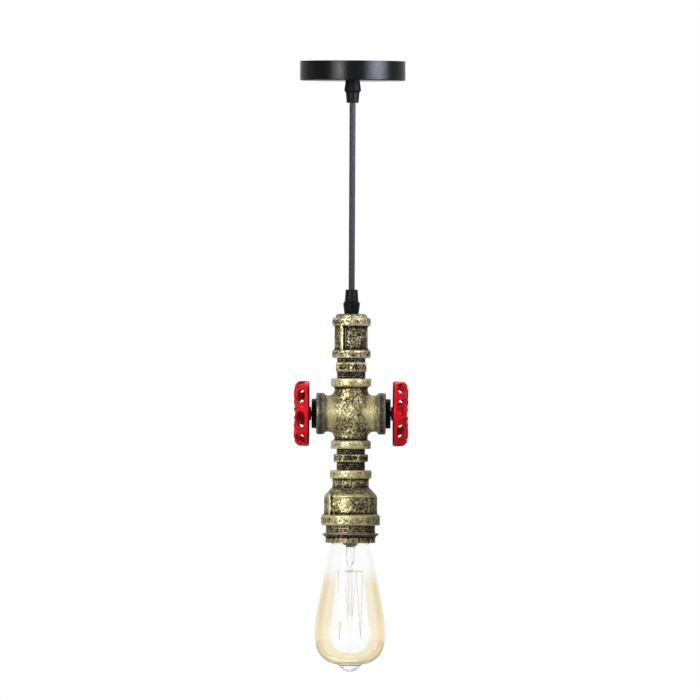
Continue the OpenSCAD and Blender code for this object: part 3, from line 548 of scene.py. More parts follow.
@dataclass(frozen=True)
class GlassFinish:
    """Clear glass with a lustre that shows where it turns away, and a thin dark rim that is a painted dark
    reflection at its outline.
    """

    name: str
    face: str
    lustre: str
    rim: str
    lustre_from: float
    lustre_to: float
    clear_above: float = 0.0
    lustre_below: float = 0.0
    clear_below: float = 0.0
    clear_fade: float = 3.0
    rim_shade_levels: Pair = (0.9, 1.0)
    gloss: float = 0.0
    ior: float = 1.46

    def build(self) -> bpy.types.Material:
        """Make the material; heights in millimetres bound the stretch where the lustre sets in.

        Returns:
            The material.
        """
        material, graph, shader = blank_material(self.name)
        facing = graph.facing()
        share = graph.spread(facing, self.lustre_from, self.lustre_to)
        if self.clear_above != self.lustre_below:
            height = graph.add("ShaderNodeSeparateXYZ", {"Vector": graph.place()}).outputs["Z"]
            share = graph.times(share, graph.spread(
                height, self.lustre_below * MM, self.clear_above * MM, 1, 0,
            ))
            share = graph.times(share, graph.spread(
                height, (self.clear_below - self.clear_fade) * MM, self.clear_below * MM,
            ))
        tone = graph.blend(share, srgb(self.face), srgb(self.lustre))
        # Painted dark reflection: the tone darkens where the glass turns fully away from the eye.
        tone = graph.blend(graph.spread(facing, *self.rim_shade_levels), tone, srgb(self.rim))
        graph.feed(shader, "Base Color", tone)
        shader.inputs["Roughness"].default_value = self.gloss
        shader.inputs["IOR"].default_value = self.ior
        shader.inputs["Transmission Weight"].default_value = 1.0
        return material


class Palette:
    """Builds each finish once and hands it out by the record's slot."""

    finishes: ClassVar[dict[str, AntiqueFinish | WornFinish | GlassFinish]] = {
        "canopy_black": WornFinish(
            "canopy_paint", "#070708", "#050506", (0.24, 0.3), scale=60, specular=0.07,
        ),
        "zinc_steel": WornFinish("zinc_plate", "#b9bcbf", "#94979b", (0.28, 0.42), 1.0),
        "plain_brass": WornFinish("plain_brass", "#cdb06a", "#a88b4a", (0.25, 0.4), 1.0),
        "terminal_white": WornFinish("terminal_moulding", "#e9e6dc", "#dcd8cc", (0.4, 0.5)),
        "grip_plastic": WornFinish(
            "grip_moulding", "#0b0b0c", "#080809", (0.38, 0.5), relief=0.02, specular=0.06,
        ),
        "cord_sheath": WornFinish(
            "cord_sheath", "#2a2a2c", "#222224", (0.4, 0.5), scale=400, specular=0.12,
        ),
        "core_brown": WornFinish("brown_core", "#6b3d22", "#593019", (0.3, 0.4)),
        "core_blue": WornFinish("blue_core", "#2c62a4", "#245389", (0.3, 0.4)),
        "core_green": WornFinish("green_core", "#7fa53a", "#c6bd3f", (0.3, 0.4)),
        "copper": WornFinish("bare_copper", "#c8794c", "#a35f39", (0.25, 0.4), 1.0),
        "antique_brass": AntiqueFinish(
            "antique_brass", "#1b1712", "#5d553e", "#b6ae88", 0.3, grain_scale=480.0,
        ),
        "thread_dark": AntiqueFinish(
            "dark_thread", "#1c1613", "#51463a", "#a89d7d", 0.22, grain_scale=500.0,
        ),
        "plug_black": AntiqueFinish("black_plug", "#0c1212", "#161d1b", "#2e342e", 0.1, proud=0.5),
        # The enamel's recess shade colour is painted shade for its hollows and its skirt's edge.
        "wheel_red": WornFinish(
            "red_enamel", "#cb1f28", "#ae171f", (0.28, 0.38), 0.25, scale=120,
            relief=0.03, specular=0.05, sheen_tint="#c02030", recess="#4e0a14",
        ),
        "stem_steel": WornFinish("turned_steel", "#8d8f90", "#6c6e70", (0.3, 0.45), 1.0),
        "holder_black": WornFinish("holder_moulding", "#1f1f20", "#181819", (0.35, 0.45)),
        "bulb_glass": GlassFinish(
            "amber_glass", "#ffffff", "#f7edd2", "#a8a07c", 0.13, 0.2,
            clear_above=-478, lustre_below=-500, clear_below=-570,
        ),
        "inner_glass": GlassFinish("mount_glass", "#ffffff", "#f8f3e4", "#d8d2bf", 0.5, 1.0, gloss=0.35),
        "cap_brass": WornFinish("drawn_cap", "#e8dcae", "#d6c68c", (0.3, 0.42), 0.5),
        "contact_metal": WornFinish("tinned_contact", "#c3c4c6", "#a4a5a7", (0.25, 0.35), 1.0),
        "filament_wire": WornFinish("filament_wire", "#f1e2b4", "#e3cf94", (0.5, 0.6)),
    }
    made: ClassVar[dict[str, bpy.types.Material]] = {}

    @classmethod
    def get(cls, slot: str) -> bpy.types.Material:
        """Find the material of a slot, and make it the first time.

        Args:
            slot: The record's slot.

        Returns:
            Its material.
        """
        if slot not in cls.made:
            cls.made[slot] = cls.finishes[slot].build()
        return cls.made[slot]


def spun(bm: Shape, steps: int) -> None:
    """Spin a whole shape a full turn about Z."""
    bmesh.ops.spin(
        bm, geom=bm.verts[:] + bm.edges[:], axis=(0, 0, 1), cent=(0, 0, 0), angle=FULL_TURN, steps=steps,
        use_merge=True,
    )


def lathe(outline: Corners, steps: int = 128, closed: bool = True) -> Shape:
    """Spin an outline about Z.

    Args:
        outline: Radius and height of each corner.
        steps: Segments round the axis.
        closed: Whether the last corner joins the first.

    Returns:
        The spun solid.
    """
    bm = bmesh.new()
    corners = [bm.verts.new((r * MM, 0, z * MM)) for r, z in outline]
    pairs = list(zip(corners, corners[1:]))
    if closed:
        pairs.append((corners[-1], corners[0]))
    for pair in pairs:
        bm.edges.new(pair)
    spun(bm, steps)
    bmesh.ops.remove_doubles(bm, verts=bm.verts, dist=1e-7)
    bmesh.ops.recalc_face_normals(bm, faces=bm.faces)
    return bm


def bevelled(bm: Shape, width: float) -> Shape:
    """Bevel all edges of a shape and return it."""
    bmesh.ops.bevel(
        bm, geom=bm.edges[:], offset=width * MM, segments=2, profile=0.5, affect="EDGES", material=-1,
    )
    return bm


def block(size: Triple, bevel: float) -> Shape:
    """Make a bevelled box round the origin.

    Args:
        size: Its width, depth and height.
        bevel: Width of the bevel on its edges.

    Returns:
        The box.
    """
    bm = bmesh.new()
    bmesh.ops.create_cube(bm, size=1.0)
    bmesh.ops.scale(bm, vec=Vector(size) * MM, verts=bm.verts)
    return bevelled(bm, bevel)


def rod(sides: int, radius: float, height: float) -> Shape:
    """Make a closed rod along Z, with its middle at the origin.

    Args:
        sides: Number of its sides.
        radius: Radius of its corners.
        height: Its height.

    Returns:
        The rod.
    """
    bm = bmesh.new()
    bmesh.ops.create_cone(
        bm, cap_ends=True, segments=sides, radius1=radius * MM, radius2=radius * MM, depth=height * MM,
    )
    return bm


def hoop(size: Pair, thickness: float) -> Shape:
    """Make a closed oval tube in the XY plane.

    Args:
        size: Half width and half height of the tube's centreline.
        thickness: Radius of the tube.

    Returns:
        The tube.
    """
    bm = bmesh.new()
    bmesh.ops.create_circle(bm, segments=12, radius=thickness * MM)
    bmesh.ops.rotate(bm, verts=bm.verts, matrix=Matrix.Rotation(math.pi / 2, 3, "X"))
    bmesh.ops.translate(bm, verts=bm.verts, vec=(size[0] * MM, 0, 0))
    spun(bm, 32)
    bmesh.ops.scale(bm, verts=bm.verts, vec=(1, size[1] / size[0], 1))
    bmesh.ops.recalc_face_normals(bm, faces=bm.faces)
    return bm


def moved(bm: Shape, *steps: Matrix) -> Shape:
    """Move or turn a shape.

    Args:
        bm: The shape.
        steps: The matrices, in the order in which they apply.

    Returns:
        The same shape.
    """
    for step in steps:
        bmesh.ops.transform(bm, matrix=step, verts=bm.verts)
    return bm


def shift(x: float, y: float, z: float) -> Matrix:
    """Return a move in millimetres."""
    return Matrix.Translation(Vector((x, y, z)) * MM)


def turn(angle: float, axis: str) -> Matrix:
    """Return a turn in degrees about an axis."""
    return Matrix.Rotation(math.radians(angle), 4, axis)


def upright(size: Triple, bevel: float, reach: float, foot: float, angle: float) -> Shape:
    """Make an upright bar against a round body.

    Args:
        size: Its width, depth and height.
        bevel: Width of the bevel on its edges.
        reach: Radius of its outer face.
        foot: Height of its lower end.
        angle: Degrees from the front, positive towards +X.

    Returns:
        The bar, in place.
    """
    return moved(block(size, bevel), shift(0, -reach + size[1] / 2, foot + size[2] / 2), turn(angle, "Z"))


def band(radius: float, top: float, foot: float, chamfer: float) -> Corners:
    """Outer corners of a cast band, from its top to its foot."""
    inner = radius - chamfer
    return [(inner, top), (radius, top - chamfer), (radius, foot + chamfer), (inner, foot)]


def thread(root: float, crest: float, top: float, foot: float, land: Pair) -> Corners:
    """Outer corners of a thread, from its top to its foot.

    Args:
        root: Radius of the roots.
        crest: Radius of the crests.
        top: Height of the upper end.
        foot: Height of the lower end.
        land: Where a crest starts and ends, as shares of the pitch.

    Returns:
        The corners.
    """
    count = round((top - foot) / PITCH)
    step = (top - foot) / count
    corners = []
    for i in range(count):
        corners.append((root, top - i * step))
        corners += [(crest, top - (i + share) * step) for share in land]
    return corners + [(root, foot)]


def off_axis(place: Vector) -> float:
    """Distance of a point from the Z axis."""
    return math.hypot(place.x, place.y)


def bearing(place: Vector) -> float:
    """Degrees round Z from the front, positive towards +X."""
    return math.degrees(math.atan2(place.x, -place.y))


def sunk(place: Vector, panels: Sequence[Pair], heights: Pair, depth: float, edge: float) -> float:
    """Height that sunk panels add at a point, at most 0.

    Args:
        place: The point.
        panels: Where each starts and ends, in degrees from the front.
        heights: Their foot and top.
        depth: Depth of their floors.
        edge: Width over which their sides slope.

    Returns:
        The height to add.
    """
    radius, angle = off_axis(place), bearing(place)
    height = 0.0
    for start, end in panels:
        inside = min(
            math.radians(angle - start) * radius, math.radians(end - angle) * radius,
            place.z - heights[0], heights[1] - place.z,
        )
        height -= depth * held(inside / edge)
    return height


def gathered(parts: Sequence[Shape], name: str) -> bpy.types.Mesh:
    """Put several shapes into one mesh and free them.

    Args:
        parts: The shapes.
        name: Name of the mesh.

    Returns:
        The mesh.
    """
    whole = bmesh.new()
    for part in parts:
        scrap = bpy.data.meshes.new("scrap")
        part.to_mesh(scrap)
        part.free()
        whole.from_mesh(scrap)
        bpy.data.meshes.remove(scrap)
    mesh = bpy.data.meshes.new(name)
    whole.to_mesh(mesh)
    whole.free()
    return mesh


def shown(name: str, data: bpy.types.ID) -> bpy.types.Object:
    """Put data into the scene as a new object.

    Args:
        name: The object's name.
        data: The mesh, curve, lamp or camera that it shows.

    Returns:
        The new object.
    """
    obj = bpy.data.objects.new(name, data)
    bpy.context.scene.collection.objects.link(obj)
    return obj


def modified(mesh: bpy.types.Mesh, kind: str, **settings: object) -> bpy.types.Mesh:
    """Run one modifier on a mesh.

    Args:
        mesh: The mesh, which is used up.
        kind: The modifier's type.
        settings: Its properties.

    Returns:
        The new mesh.
    """
    scrap = shown("scrap", mesh)
    modifier = scrap.modifiers.new("step", kind)
    for name, value in settings.items():
        setattr(modifier, name, value)
    graph = bpy.context.evaluated_depsgraph_get()
    result = bpy.data.meshes.new_from_object(scrap.evaluated_get(graph))
    result.name = mesh.name
    bpy.data.objects.remove(scrap)
    return result


def cut(mesh: bpy.types.Mesh, cutters: Sequence[Shape]) -> bpy.types.Mesh:
    """Take the cutters' space out of a mesh.

    Args:
        mesh: The mesh, which is used up.
        cutters: Closed shapes that don't touch each other.

    Returns:
        The cut mesh.
    """
    tool = shown("cutter", gathered(cutters, "cutter"))
    result = modified(mesh, "BOOLEAN", operation="DIFFERENCE", object=tool, solver="EXACT")
    bpy.data.objects.remove(tool)
    return result


def add_piece(name: str, mesh: bpy.types.Mesh, body: str, slot: str, node: str) -> None:
    """Show a finished mesh as a piece of the light.

    Args:
        name: The piece's name.
        mesh: Its mesh, in place.
        body: The body that it rides on.
        slot: The record's slot that it takes its finish from.
        node: CAD node that it stands for.
    """
    obj = shown(name, mesh)
    mesh.materials.clear()
    mesh.materials.append(Palette.get(slot))
    mesh.shade_smooth()
    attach(obj, body)
    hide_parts(node)
    LOG.info("%s: %d faces on %s, %s", name, len(mesh.polygons), body, slot)


class Casting:
    """Turns rough solids into one cast piece: fused, eased, roughened, and measured for the dry brush."""

    wave_scale: float = 0.16
    grain_scale: float = 0.75
    speck_scale: float = 1.6
    speck_share: float = 0.6

    def __init__(self, parts: Sequence[Shape], name: str, voxel: float, easing: int = 2) -> None:
        """Fuse overlapping solids.

        Args:
            parts: The solids.
            name: Name of the piece.
            voxel: Size of the new faces.
            easing: How often the result is smoothed.
        """
        self.name = name
        self.mesh = modified(gathered(parts, name), "REMESH", mode="VOXEL", voxel_size=voxel * MM)
        self.ease(easing)

    def ease(self, times: int) -> "Casting":
        """Smooth the whole surface.

        Args:
            times: How often it is smoothed.

        Returns:
            The casting.
        """
        bm = bmesh.new()
        bm.from_mesh(self.mesh)
        for _ in range(times):
            bmesh.ops.smooth_vert(
                bm, verts=bm.verts, factor=0.5, use_axis_x=True, use_axis_y=True, use_axis_z=True,
            )
        bmesh.ops.recalc_face_normals(bm, faces=bm.faces)
        bm.to_mesh(self.mesh)
        bm.free()
        return self

    def shaped(self, rule: Callable[[Vector], Vector]) -> "Casting":
        """Move each point to where a rule puts it.

        Args:
            rule: Gives a point's new place; both are in millimetres.

        Returns:
            The casting.
        """
        for vertex in self.mesh.vertices:
            vertex.co = rule(vertex.co / MM) * MM
        self.mesh.update()
        return self

    def placed(self, *steps: Matrix) -> "Casting":
        """Move or turn the casting.

        Args:
            steps: The matrices, in the order in which they apply.

        Returns:
            The casting.
        """
        for step in steps:
            self.mesh.transform(step)
        return self

    def roughened(self, coarse: float, fine: float, seed: float, relief: Relief | None = None) -> "Casting":
        """Push the surface in and out as sand casting does.

        Args:
            coarse: Height of the slow waves.
            fine: Height of the grain.
            seed: Where in the noise this piece lies.
            relief: Further height at a point, given in millimetres.

        Returns:
            The casting.
        """
        offset = Vector((seed, 2 * seed, 3 * seed))
        normals = [v.normal.copy() for v in self.mesh.vertices]
        for vertex, normal in zip(self.mesh.vertices, normals):
            place = vertex.co / MM
            height = coarse * noise.noise(place * self.wave_scale + offset)
            height += fine * noise.noise(place * self.grain_scale + offset)
            height += fine * self.speck_share * noise.noise(place * self.speck_scale + offset)
            if relief is not None:
                height += relief(place)
            vertex.co += normal * height * MM
        self.mesh.update()
        return self

    def painted(self, name: str, rule: Relief | float) -> "Casting":
        """Store a value at each point, for the finishes to read.

        Args:
            name: The value's name.
            rule: One number, or the rule for a point in millimetres.

        Returns:
            The casting.
        """
        vertices = self.mesh.vertices
        marks = [rule(v.co / MM) for v in vertices] if callable(rule) else [rule] * len(vertices)
        self.mesh.attributes.new(name, "FLOAT", "POINT").data.foreach_set("value", marks)
        return self

    def measure(self, fine: tuple[int, float], broad: tuple[int, float], fine_share: float) -> None:
        """Store how far each point stands proud of its surroundings, near it and further off.

        Args:
            fine: How often the near surface is smoothed, and the height that counts as fully proud.
            broad: The same for the further one.
            fine_share: What the near comparison counts for.
        """
        count = len(self.mesh.vertices)
        points, normals = np.empty(count * 3), np.empty(count * 3)
        self.mesh.vertices.foreach_get("co", points)
        self.mesh.vertices.foreach_get("normal", normals)
        points, normals = points.reshape(-1, 3), normals.reshape(-1, 3)
        edges = np.empty(len(self.mesh.edges) * 2, dtype=np.int64)
        self.mesh.edges.foreach_get("vertices", edges)
        ends = edges.reshape(-1, 2)
        start = np.concatenate((ends[:, 0], ends[:, 1]))
        end = np.concatenate((ends[:, 1], ends[:, 0]))
        share = np.maximum(np.bincount(start, minlength=count), 1)[:, None]
        calm = points.copy()
        level = np.zeros(count)
        for i in range(max(fine[0], broad[0])):
            drawn = np.stack([np.bincount(start, calm[end, k], count) for k in range(3)], axis=1)
            calm = 0.5 * calm + 0.5 * drawn / share
            for (rounds, depth), weight in ((fine, fine_share), (broad, 1 - fine_share)):
                if i + 1 == rounds:
                    rise = ((points - calm) * normals).sum(axis=1) / (depth * MM)
                    level += weight * np.clip(rise - (np.median(rise) if rounds == broad[0] else 0), -1, 1)
        proud = self.mesh.attributes.new(PROUD, "FLOAT", "POINT")
        proud.data.foreach_set("value", np.clip(0.5 + 0.5 * level, 0, 1).astype(np.float32))

    def show(
        self, slot: str, node: str, fine: tuple[int, float], fine_share: float = 0.5,
        broad: tuple[int, float] = (150, 0.9), body: str = "lamp",
    ) -> None:
        """Measure the casting and add it as a piece; see measure and add_piece for the settings."""
        self.measure(fine, broad, fine_share)
        add_piece(self.name, self.mesh, body, slot, node)


def dress_cad_nodes() -> None:
    """Give every CAD node that no new piece stands for the finish of its slot."""
    slots = {part["node"]: part["material_slot"] for part in frame["record"]["subparts"]}
    for name, obj in frame["nodes"].items():
        if obj.hide_render:
            continue
        material = Palette.get(slots[name])
        if not obj.material_slots:
            obj.data.materials.append(material)
        for holder in obj.material_slots:
            holder.material = material
        LOG.info("%s: dressed as %s", name, slots[name])


@dataclass(frozen=True)
class Lamp:
    """A soft rectangular lamp that faces the light's axis at a height; places and sizes in metres."""

    name: str
    place: Triple
    size: Pair
    watts: float
    aim_z: float = -0.2738
    grid: float = 180.0
    tint: str = "#ffffff"

    def hang(self) -> None:
        """Put the lamp into the scene; its grid lets out an angle in degrees."""
        data = bpy.data.lights.new(self.name, "AREA")
        data.shape = "RECTANGLE"
        data.size, data.size_y = self.size
        data.energy = self.watts
        data.spread = math.radians(self.grid)
        data.color = srgb(self.tint)[:3]
        obj = shown(self.name, data)
        obj.location = self.place
        obj.visible_camera = False
        aim = Vector((0, 0, self.aim_z)) - Vector(self.place)
        obj.rotation_euler = aim.to_track_quat("-Z", "Y").to_euler()


@dataclass
class Studio:
    """Camera, floor, soft lamps and surroundings, in metres."""

    view_width: float = 0.6636
    view_distance: float = 16.0
    view_x: float = -0.0013
    view_z: float = -0.2738
    view_roll: float = -0.29
    sensor: float = 36.0
    far_clip: float = 100.0
    floor_half: float = 2.2
    floor_drop: float = 0.25
    floor_glow: float = 0.6
    ambient: float = 0.06
    lamps: ClassVar[tuple[Lamp, ...]] = (
        Lamp("key_lamp", (-1.4, -2.0, 0.3), (0.85, 0.7), 54.0),
        Lamp("left_lamp", (-2.2, -0.6, -1.0), (0.7, 0.9), 1.5),
        Lamp("right_lamp", (2.2, -0.6, -1.0), (0.7, 0.9), 1.5),
        Lamp("top_lamp", (0.2, 0.3, 1.6), (1.0, 1.0), 6.0),
        Lamp("back_lamp", (0.4, 1.9, 1.2), (1.4, 1.0), 18.0),
        Lamp("rim_lamp", (0.573, -0.4, -0.01), (0.74, 0.14), 3.2, -0.01, 60.0, "#dcdff6"),
        Lamp("canopy_lamp", (-0.63, -1.36, -0.01), (0.3, 0.2), 0.3, -0.01, 30.0),
    )

    def camera(self) -> None:
        """Aim the camera along +Y, level, as the photograph was taken."""
        data = bpy.data.cameras.new("camera")
        data.sensor_width = self.sensor
        data.lens = self.sensor * self.view_distance / self.view_width
        data.clip_end = self.far_clip
        obj = shown("camera", data)
        obj.location = (self.view_x, -self.view_distance, self.view_z)
        obj.rotation_euler = (math.pi / 2, math.radians(self.view_roll), 0)
        bpy.context.scene.camera = obj

    def surroundings(self) -> None:
        """Light softly from all round, and show white to the eye, to gloss and through glass."""
        world = bpy.data.worlds.new("surroundings")
        world.use_nodes = True
        world.node_tree.nodes.clear()
        graph = Graph(world.node_tree)
        path = graph.add("ShaderNodeLightPath").outputs
        seen = graph.combined(path["Is Camera Ray"], path["Is Glossy Ray"], "MAXIMUM")
        seen = graph.combined(seen, path["Is Transmission Ray"], "MAXIMUM")
        soft = graph.add("ShaderNodeBackground", {"Color": WHITE, "Strength": self.ambient})
        white = graph.add("ShaderNodeBackground", {"Color": WHITE, "Strength": 1.0})
        graph.add("ShaderNodeOutputWorld", {"Surface": graph.shader_mix(seen, soft, white)})
        bpy.context.scene.world = world

    def floor(self) -> None:
        """Lay a plain pale floor under the light, which glows a little to the eye alone."""
        bm = bmesh.new()
        bmesh.ops.create_grid(bm, x_segments=1, y_segments=1, size=self.floor_half)
        bmesh.ops.translate(bm, verts=bm.verts, vec=(0, 0, CAD_BOX[0].z - self.floor_drop))
        material, graph, shader = blank_material("floor_paint")
        wear = FineWear.place(graph, {
            "Vector": graph.place(), "Scale": 1.5, "Base": (0.93, 0.93, 0.93, 1),
            "Shade": (0.9, 0.9, 0.9, 1), "Gloss Low": 0.8, "Gloss High": 0.9,
        })
        graph.feed(shader, "Base Color", wear["Color"])
        graph.feed(shader, "Roughness", wear["Roughness"])
        outlet = shader.outputs[0].links[0].to_socket
        seen = graph.add("ShaderNodeLightPath").outputs["Is Camera Ray"]
        glow = graph.add("ShaderNodeEmission", {"Color": WHITE, "Strength": 1.0})
        lit = graph.shader_mix(graph.times(seen, self.floor_glow), shader, glow)
        material.node_tree.links.new(lit, outlet)
        obj = shown("floor", gathered([bm], "floor"))
        obj.data.materials.append(material)

    def build(self) -> None:
        """Set up the surroundings, the lamps, the floor and the way tones are shown."""
        self.surroundings()
        for lamp in self.lamps:
            lamp.hang()
        self.floor()
        bpy.context.scene.view_settings.view_transform = "Standard"


@dataclass
class HangingCord:
    """The flex, from just inside the mouth of the canopy grip to the mouth of the lamp grip."""

    diameter: float = 5.8
    top_rise: float = 4.0
    points: int = 24

    def build(self) -> None:
        """Draw the cord as one straight curve with a rounded top end."""
        room = Extent.of("pendant_cord")
        top, foot = Vector((0, 0, room.top + self.top_rise)), Vector((0, 0, room.foot))
        radius = self.diameter / 2
        stations = [
            (radius * math.sin(math.radians(a)), math.cos(math.radians(a))) for a in (80, 60, 40, 20)
        ]
        stations += [(-(top - foot).z * i / (self.points - 1), 1.0) for i in range(self.points)]
        curve = bpy.data.curves.new("pendant_flex", "CURVE")
        curve.dimensions = "3D"
        curve.bevel_depth = radius * MM
        curve.bevel_resolution = 8
        curve.use_fill_caps = True
        spline = curve.splines.new("POLY")
        spline.points.add(len(stations) - 1)
        for point, (rise, share) in zip(spline.points, stations):
            point.co = (0, 0, (top.z + rise) * MM, 1)
            point.radius = share
        spline.use_smooth = True
        curve.materials.append(Palette.get("cord_sheath"))
        obj = shown("pendant_flex", curve)
        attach(obj, "lamp")
        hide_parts("cord_top", "pendant_cord")
        LOG.info("pendant_flex: %.0f mm long", (top - foot).length)


@dataclass
class TopPlug:
    """The rounded plug that closes the coupling under the cord grip."""

    bore_radius: float = 5.1
    rim_height: float = 3.7
    shank_radius: float = 12.2
    voxel: float = 0.4
    rim_corners: ClassVar[Corners] = [(2.6, 0), (1.1, 0.5), (0.25, 1.5), (0, 2.6)]

    def build(self) -> None:
        """Make the plug's rim and its shank."""
        room = Extent.of("top_plug")
        rim_foot = room.top - self.rim_height
        outline = [(self.bore_radius, room.foot), (self.bore_radius, room.top)]
        outline += [(room.radius - inward, room.top - down) for inward, down in self.rim_corners]
        outline += [(room.radius, rim_foot), (self.shank_radius, rim_foot), (self.shank_radius, room.foot)]
        casting = Casting([lathe(outline)], "top_plug_casting", self.voxel).roughened(0.2, 0.16, seed=5)
        casting.show("thread_dark", "top_plug", fine=(30, 0.35))


@dataclass
class Coupling:
    """The straight coupling at the top, with two bands, two ribs and sunk rough panels."""

    body_radius: float = 15.9
    band_height: float = 7.5
    chamfer: float = 0.9
    fillet: float = 0.7
    panel_sink: float = 0.55
    panel_edge: float = 0.6
    rib_width: float = 3.3
    rib_angle: float = -32.0
    voxel: float = 0.45
    tarnish: float = 0.08
    panels: ClassVar[Sequence[Pair]] = ((-20.0, 62.0), (-180.0, -120.0), (75.0, 140.0))

    def build(self) -> None:
        """Make the coupling."""
        room = Extent.of("coupling")
        band_r, top, foot = room.radius, room.top, room.foot
        neck_top, neck_foot = top - self.band_height, foot + self.band_height
        foot_r = self.body_radius + self.fillet
        outline = [(WATERWAY, foot), (WATERWAY, top), *band(band_r, top, neck_top, self.chamfer)]
        outline += [(foot_r, neck_top - 0.1), (self.body_radius, neck_top - 1.0)]
        outline += [(self.body_radius, neck_foot + 1.0), (foot_r, neck_foot + 0.1)]
        outline += band(band_r, neck_foot, foot, self.chamfer)
        reach = band_r + 0.1
        size = (self.rib_width, reach - WATERWAY - 1, top - foot - 2)
        ribs = [upright(size, 0.5, reach, foot + 1, self.rib_angle + half) for half in (0, 180)]

        def relief(place: Vector) -> float:
            """Sink the panels between the bands and roughen them.

            Args:
                place: The point, in millimetres.

            Returns:
                The height to add.
            """
            if not neck_foot < place.z < neck_top or off_axis(place) < WATERWAY + 1:
                return 0.0
            heights = (neck_foot + 1.2, neck_top - 1.0)
            height = sunk(place, self.panels, heights, self.panel_sink, self.panel_edge)
            return height * (1 - 0.4 * noise.noise(place * 1.3))

        casting = Casting([lathe(outline), *ribs], "coupling_casting", self.voxel)
        casting.roughened(0.18, 0.12, seed=3, relief=relief).painted(TARNISH_AND_SHADE, self.tarnish)
        casting.show("antique_brass", "coupling", fine=(40, 0.35))


@dataclass
class Nipple:
    """A hexagon nipple: threaded ends with a rough cast hexagon between them."""

    node: str
    hex_over: float
    hex_height: float
    hex_turn: float
    hex_sink: float
    hex_across: float = 28.8
    thread_radius: float = 13.75
    thread_depth: float = 1.1
    bore_radius: float = 9.5
    bore_reach: float = 60.0
    thread_voxel: float = 0.4
    hex_voxel: float = 0.35
    tarnish: float = 0.3
    land: ClassVar[Pair] = (0.35, 0.6)

    def threads(self) -> None:
        """Make the threaded ends in one piece."""
        room = Extent.of(self.node)
        outline = [(self.bore_radius, room.foot), (self.bore_radius, room.top)]
        root = self.thread_radius - self.thread_depth
        outline += thread(root, self.thread_radius, room.top, room.foot, self.land)
        threads = Casting([lathe(outline)], self.node + "_threads", self.thread_voxel, easing=1)
        threads.roughened(0.08, 0.12, seed=self.hex_over).painted(TARNISH_AND_SHADE, self.tarnish)
        threads.show("thread_dark", self.node, fine=(30, 0.45), fine_share=0.8)

    def hexagon(self) -> None:
        """Make the hexagon between the threads, with a rough middle on each face."""
        middle = self.hex_over - self.hex_height / 2
        name = self.node + "_hexagon"
        corner_r = self.hex_across / math.sqrt(3)
        half_face = corner_r / 2
        solid = moved(
            bevelled(rod(6, corner_r, self.hex_height), 0.8), turn(self.hex_turn, "Z"), shift(0, 0, middle),
        )
        bore_r, reach = self.bore_radius, self.bore_reach
        bore_outline = [(0, -reach), (bore_r, -reach), (bore_r, reach), (0, reach)]
        bore = moved(lathe(bore_outline, closed=False), shift(0, 0, middle))
        ring = bmesh.new()
        ring.from_mesh(cut(gathered([solid], name), [bore]))

        def relief(place: Vector) -> float:
            """Sink the middle of each face a little, and roughen it.

            Args:
                place: The point, in millimetres.

            Returns:
                The height to add.
            """
            radius = off_axis(place)
            if radius < bore_r + 2:
                return 0.0
            angle = (math.degrees(math.atan2(place.y, place.x)) - self.hex_turn - 30) % 60 - 30
            from_side = half_face - 2.0 - abs(radius * math.sin(math.radians(angle)))
            inside = min(from_side, self.hex_height / 2 - 1.6 - abs(place.z - middle))
            return -self.hex_sink * held(inside / 0.8) * (1 - 0.8 * noise.noise(place * 1.4))

        casting = Casting([ring], name, self.hex_voxel)
        casting.roughened(0.16, 0.16, seed=self.hex_over + 1, relief=relief)
        casting.show("antique_brass", self.node, fine=(30, 0.35), fine_share=0.8)

    def build(self) -> None:
        """Make the nipple."""
        self.threads()
        self.hexagon()


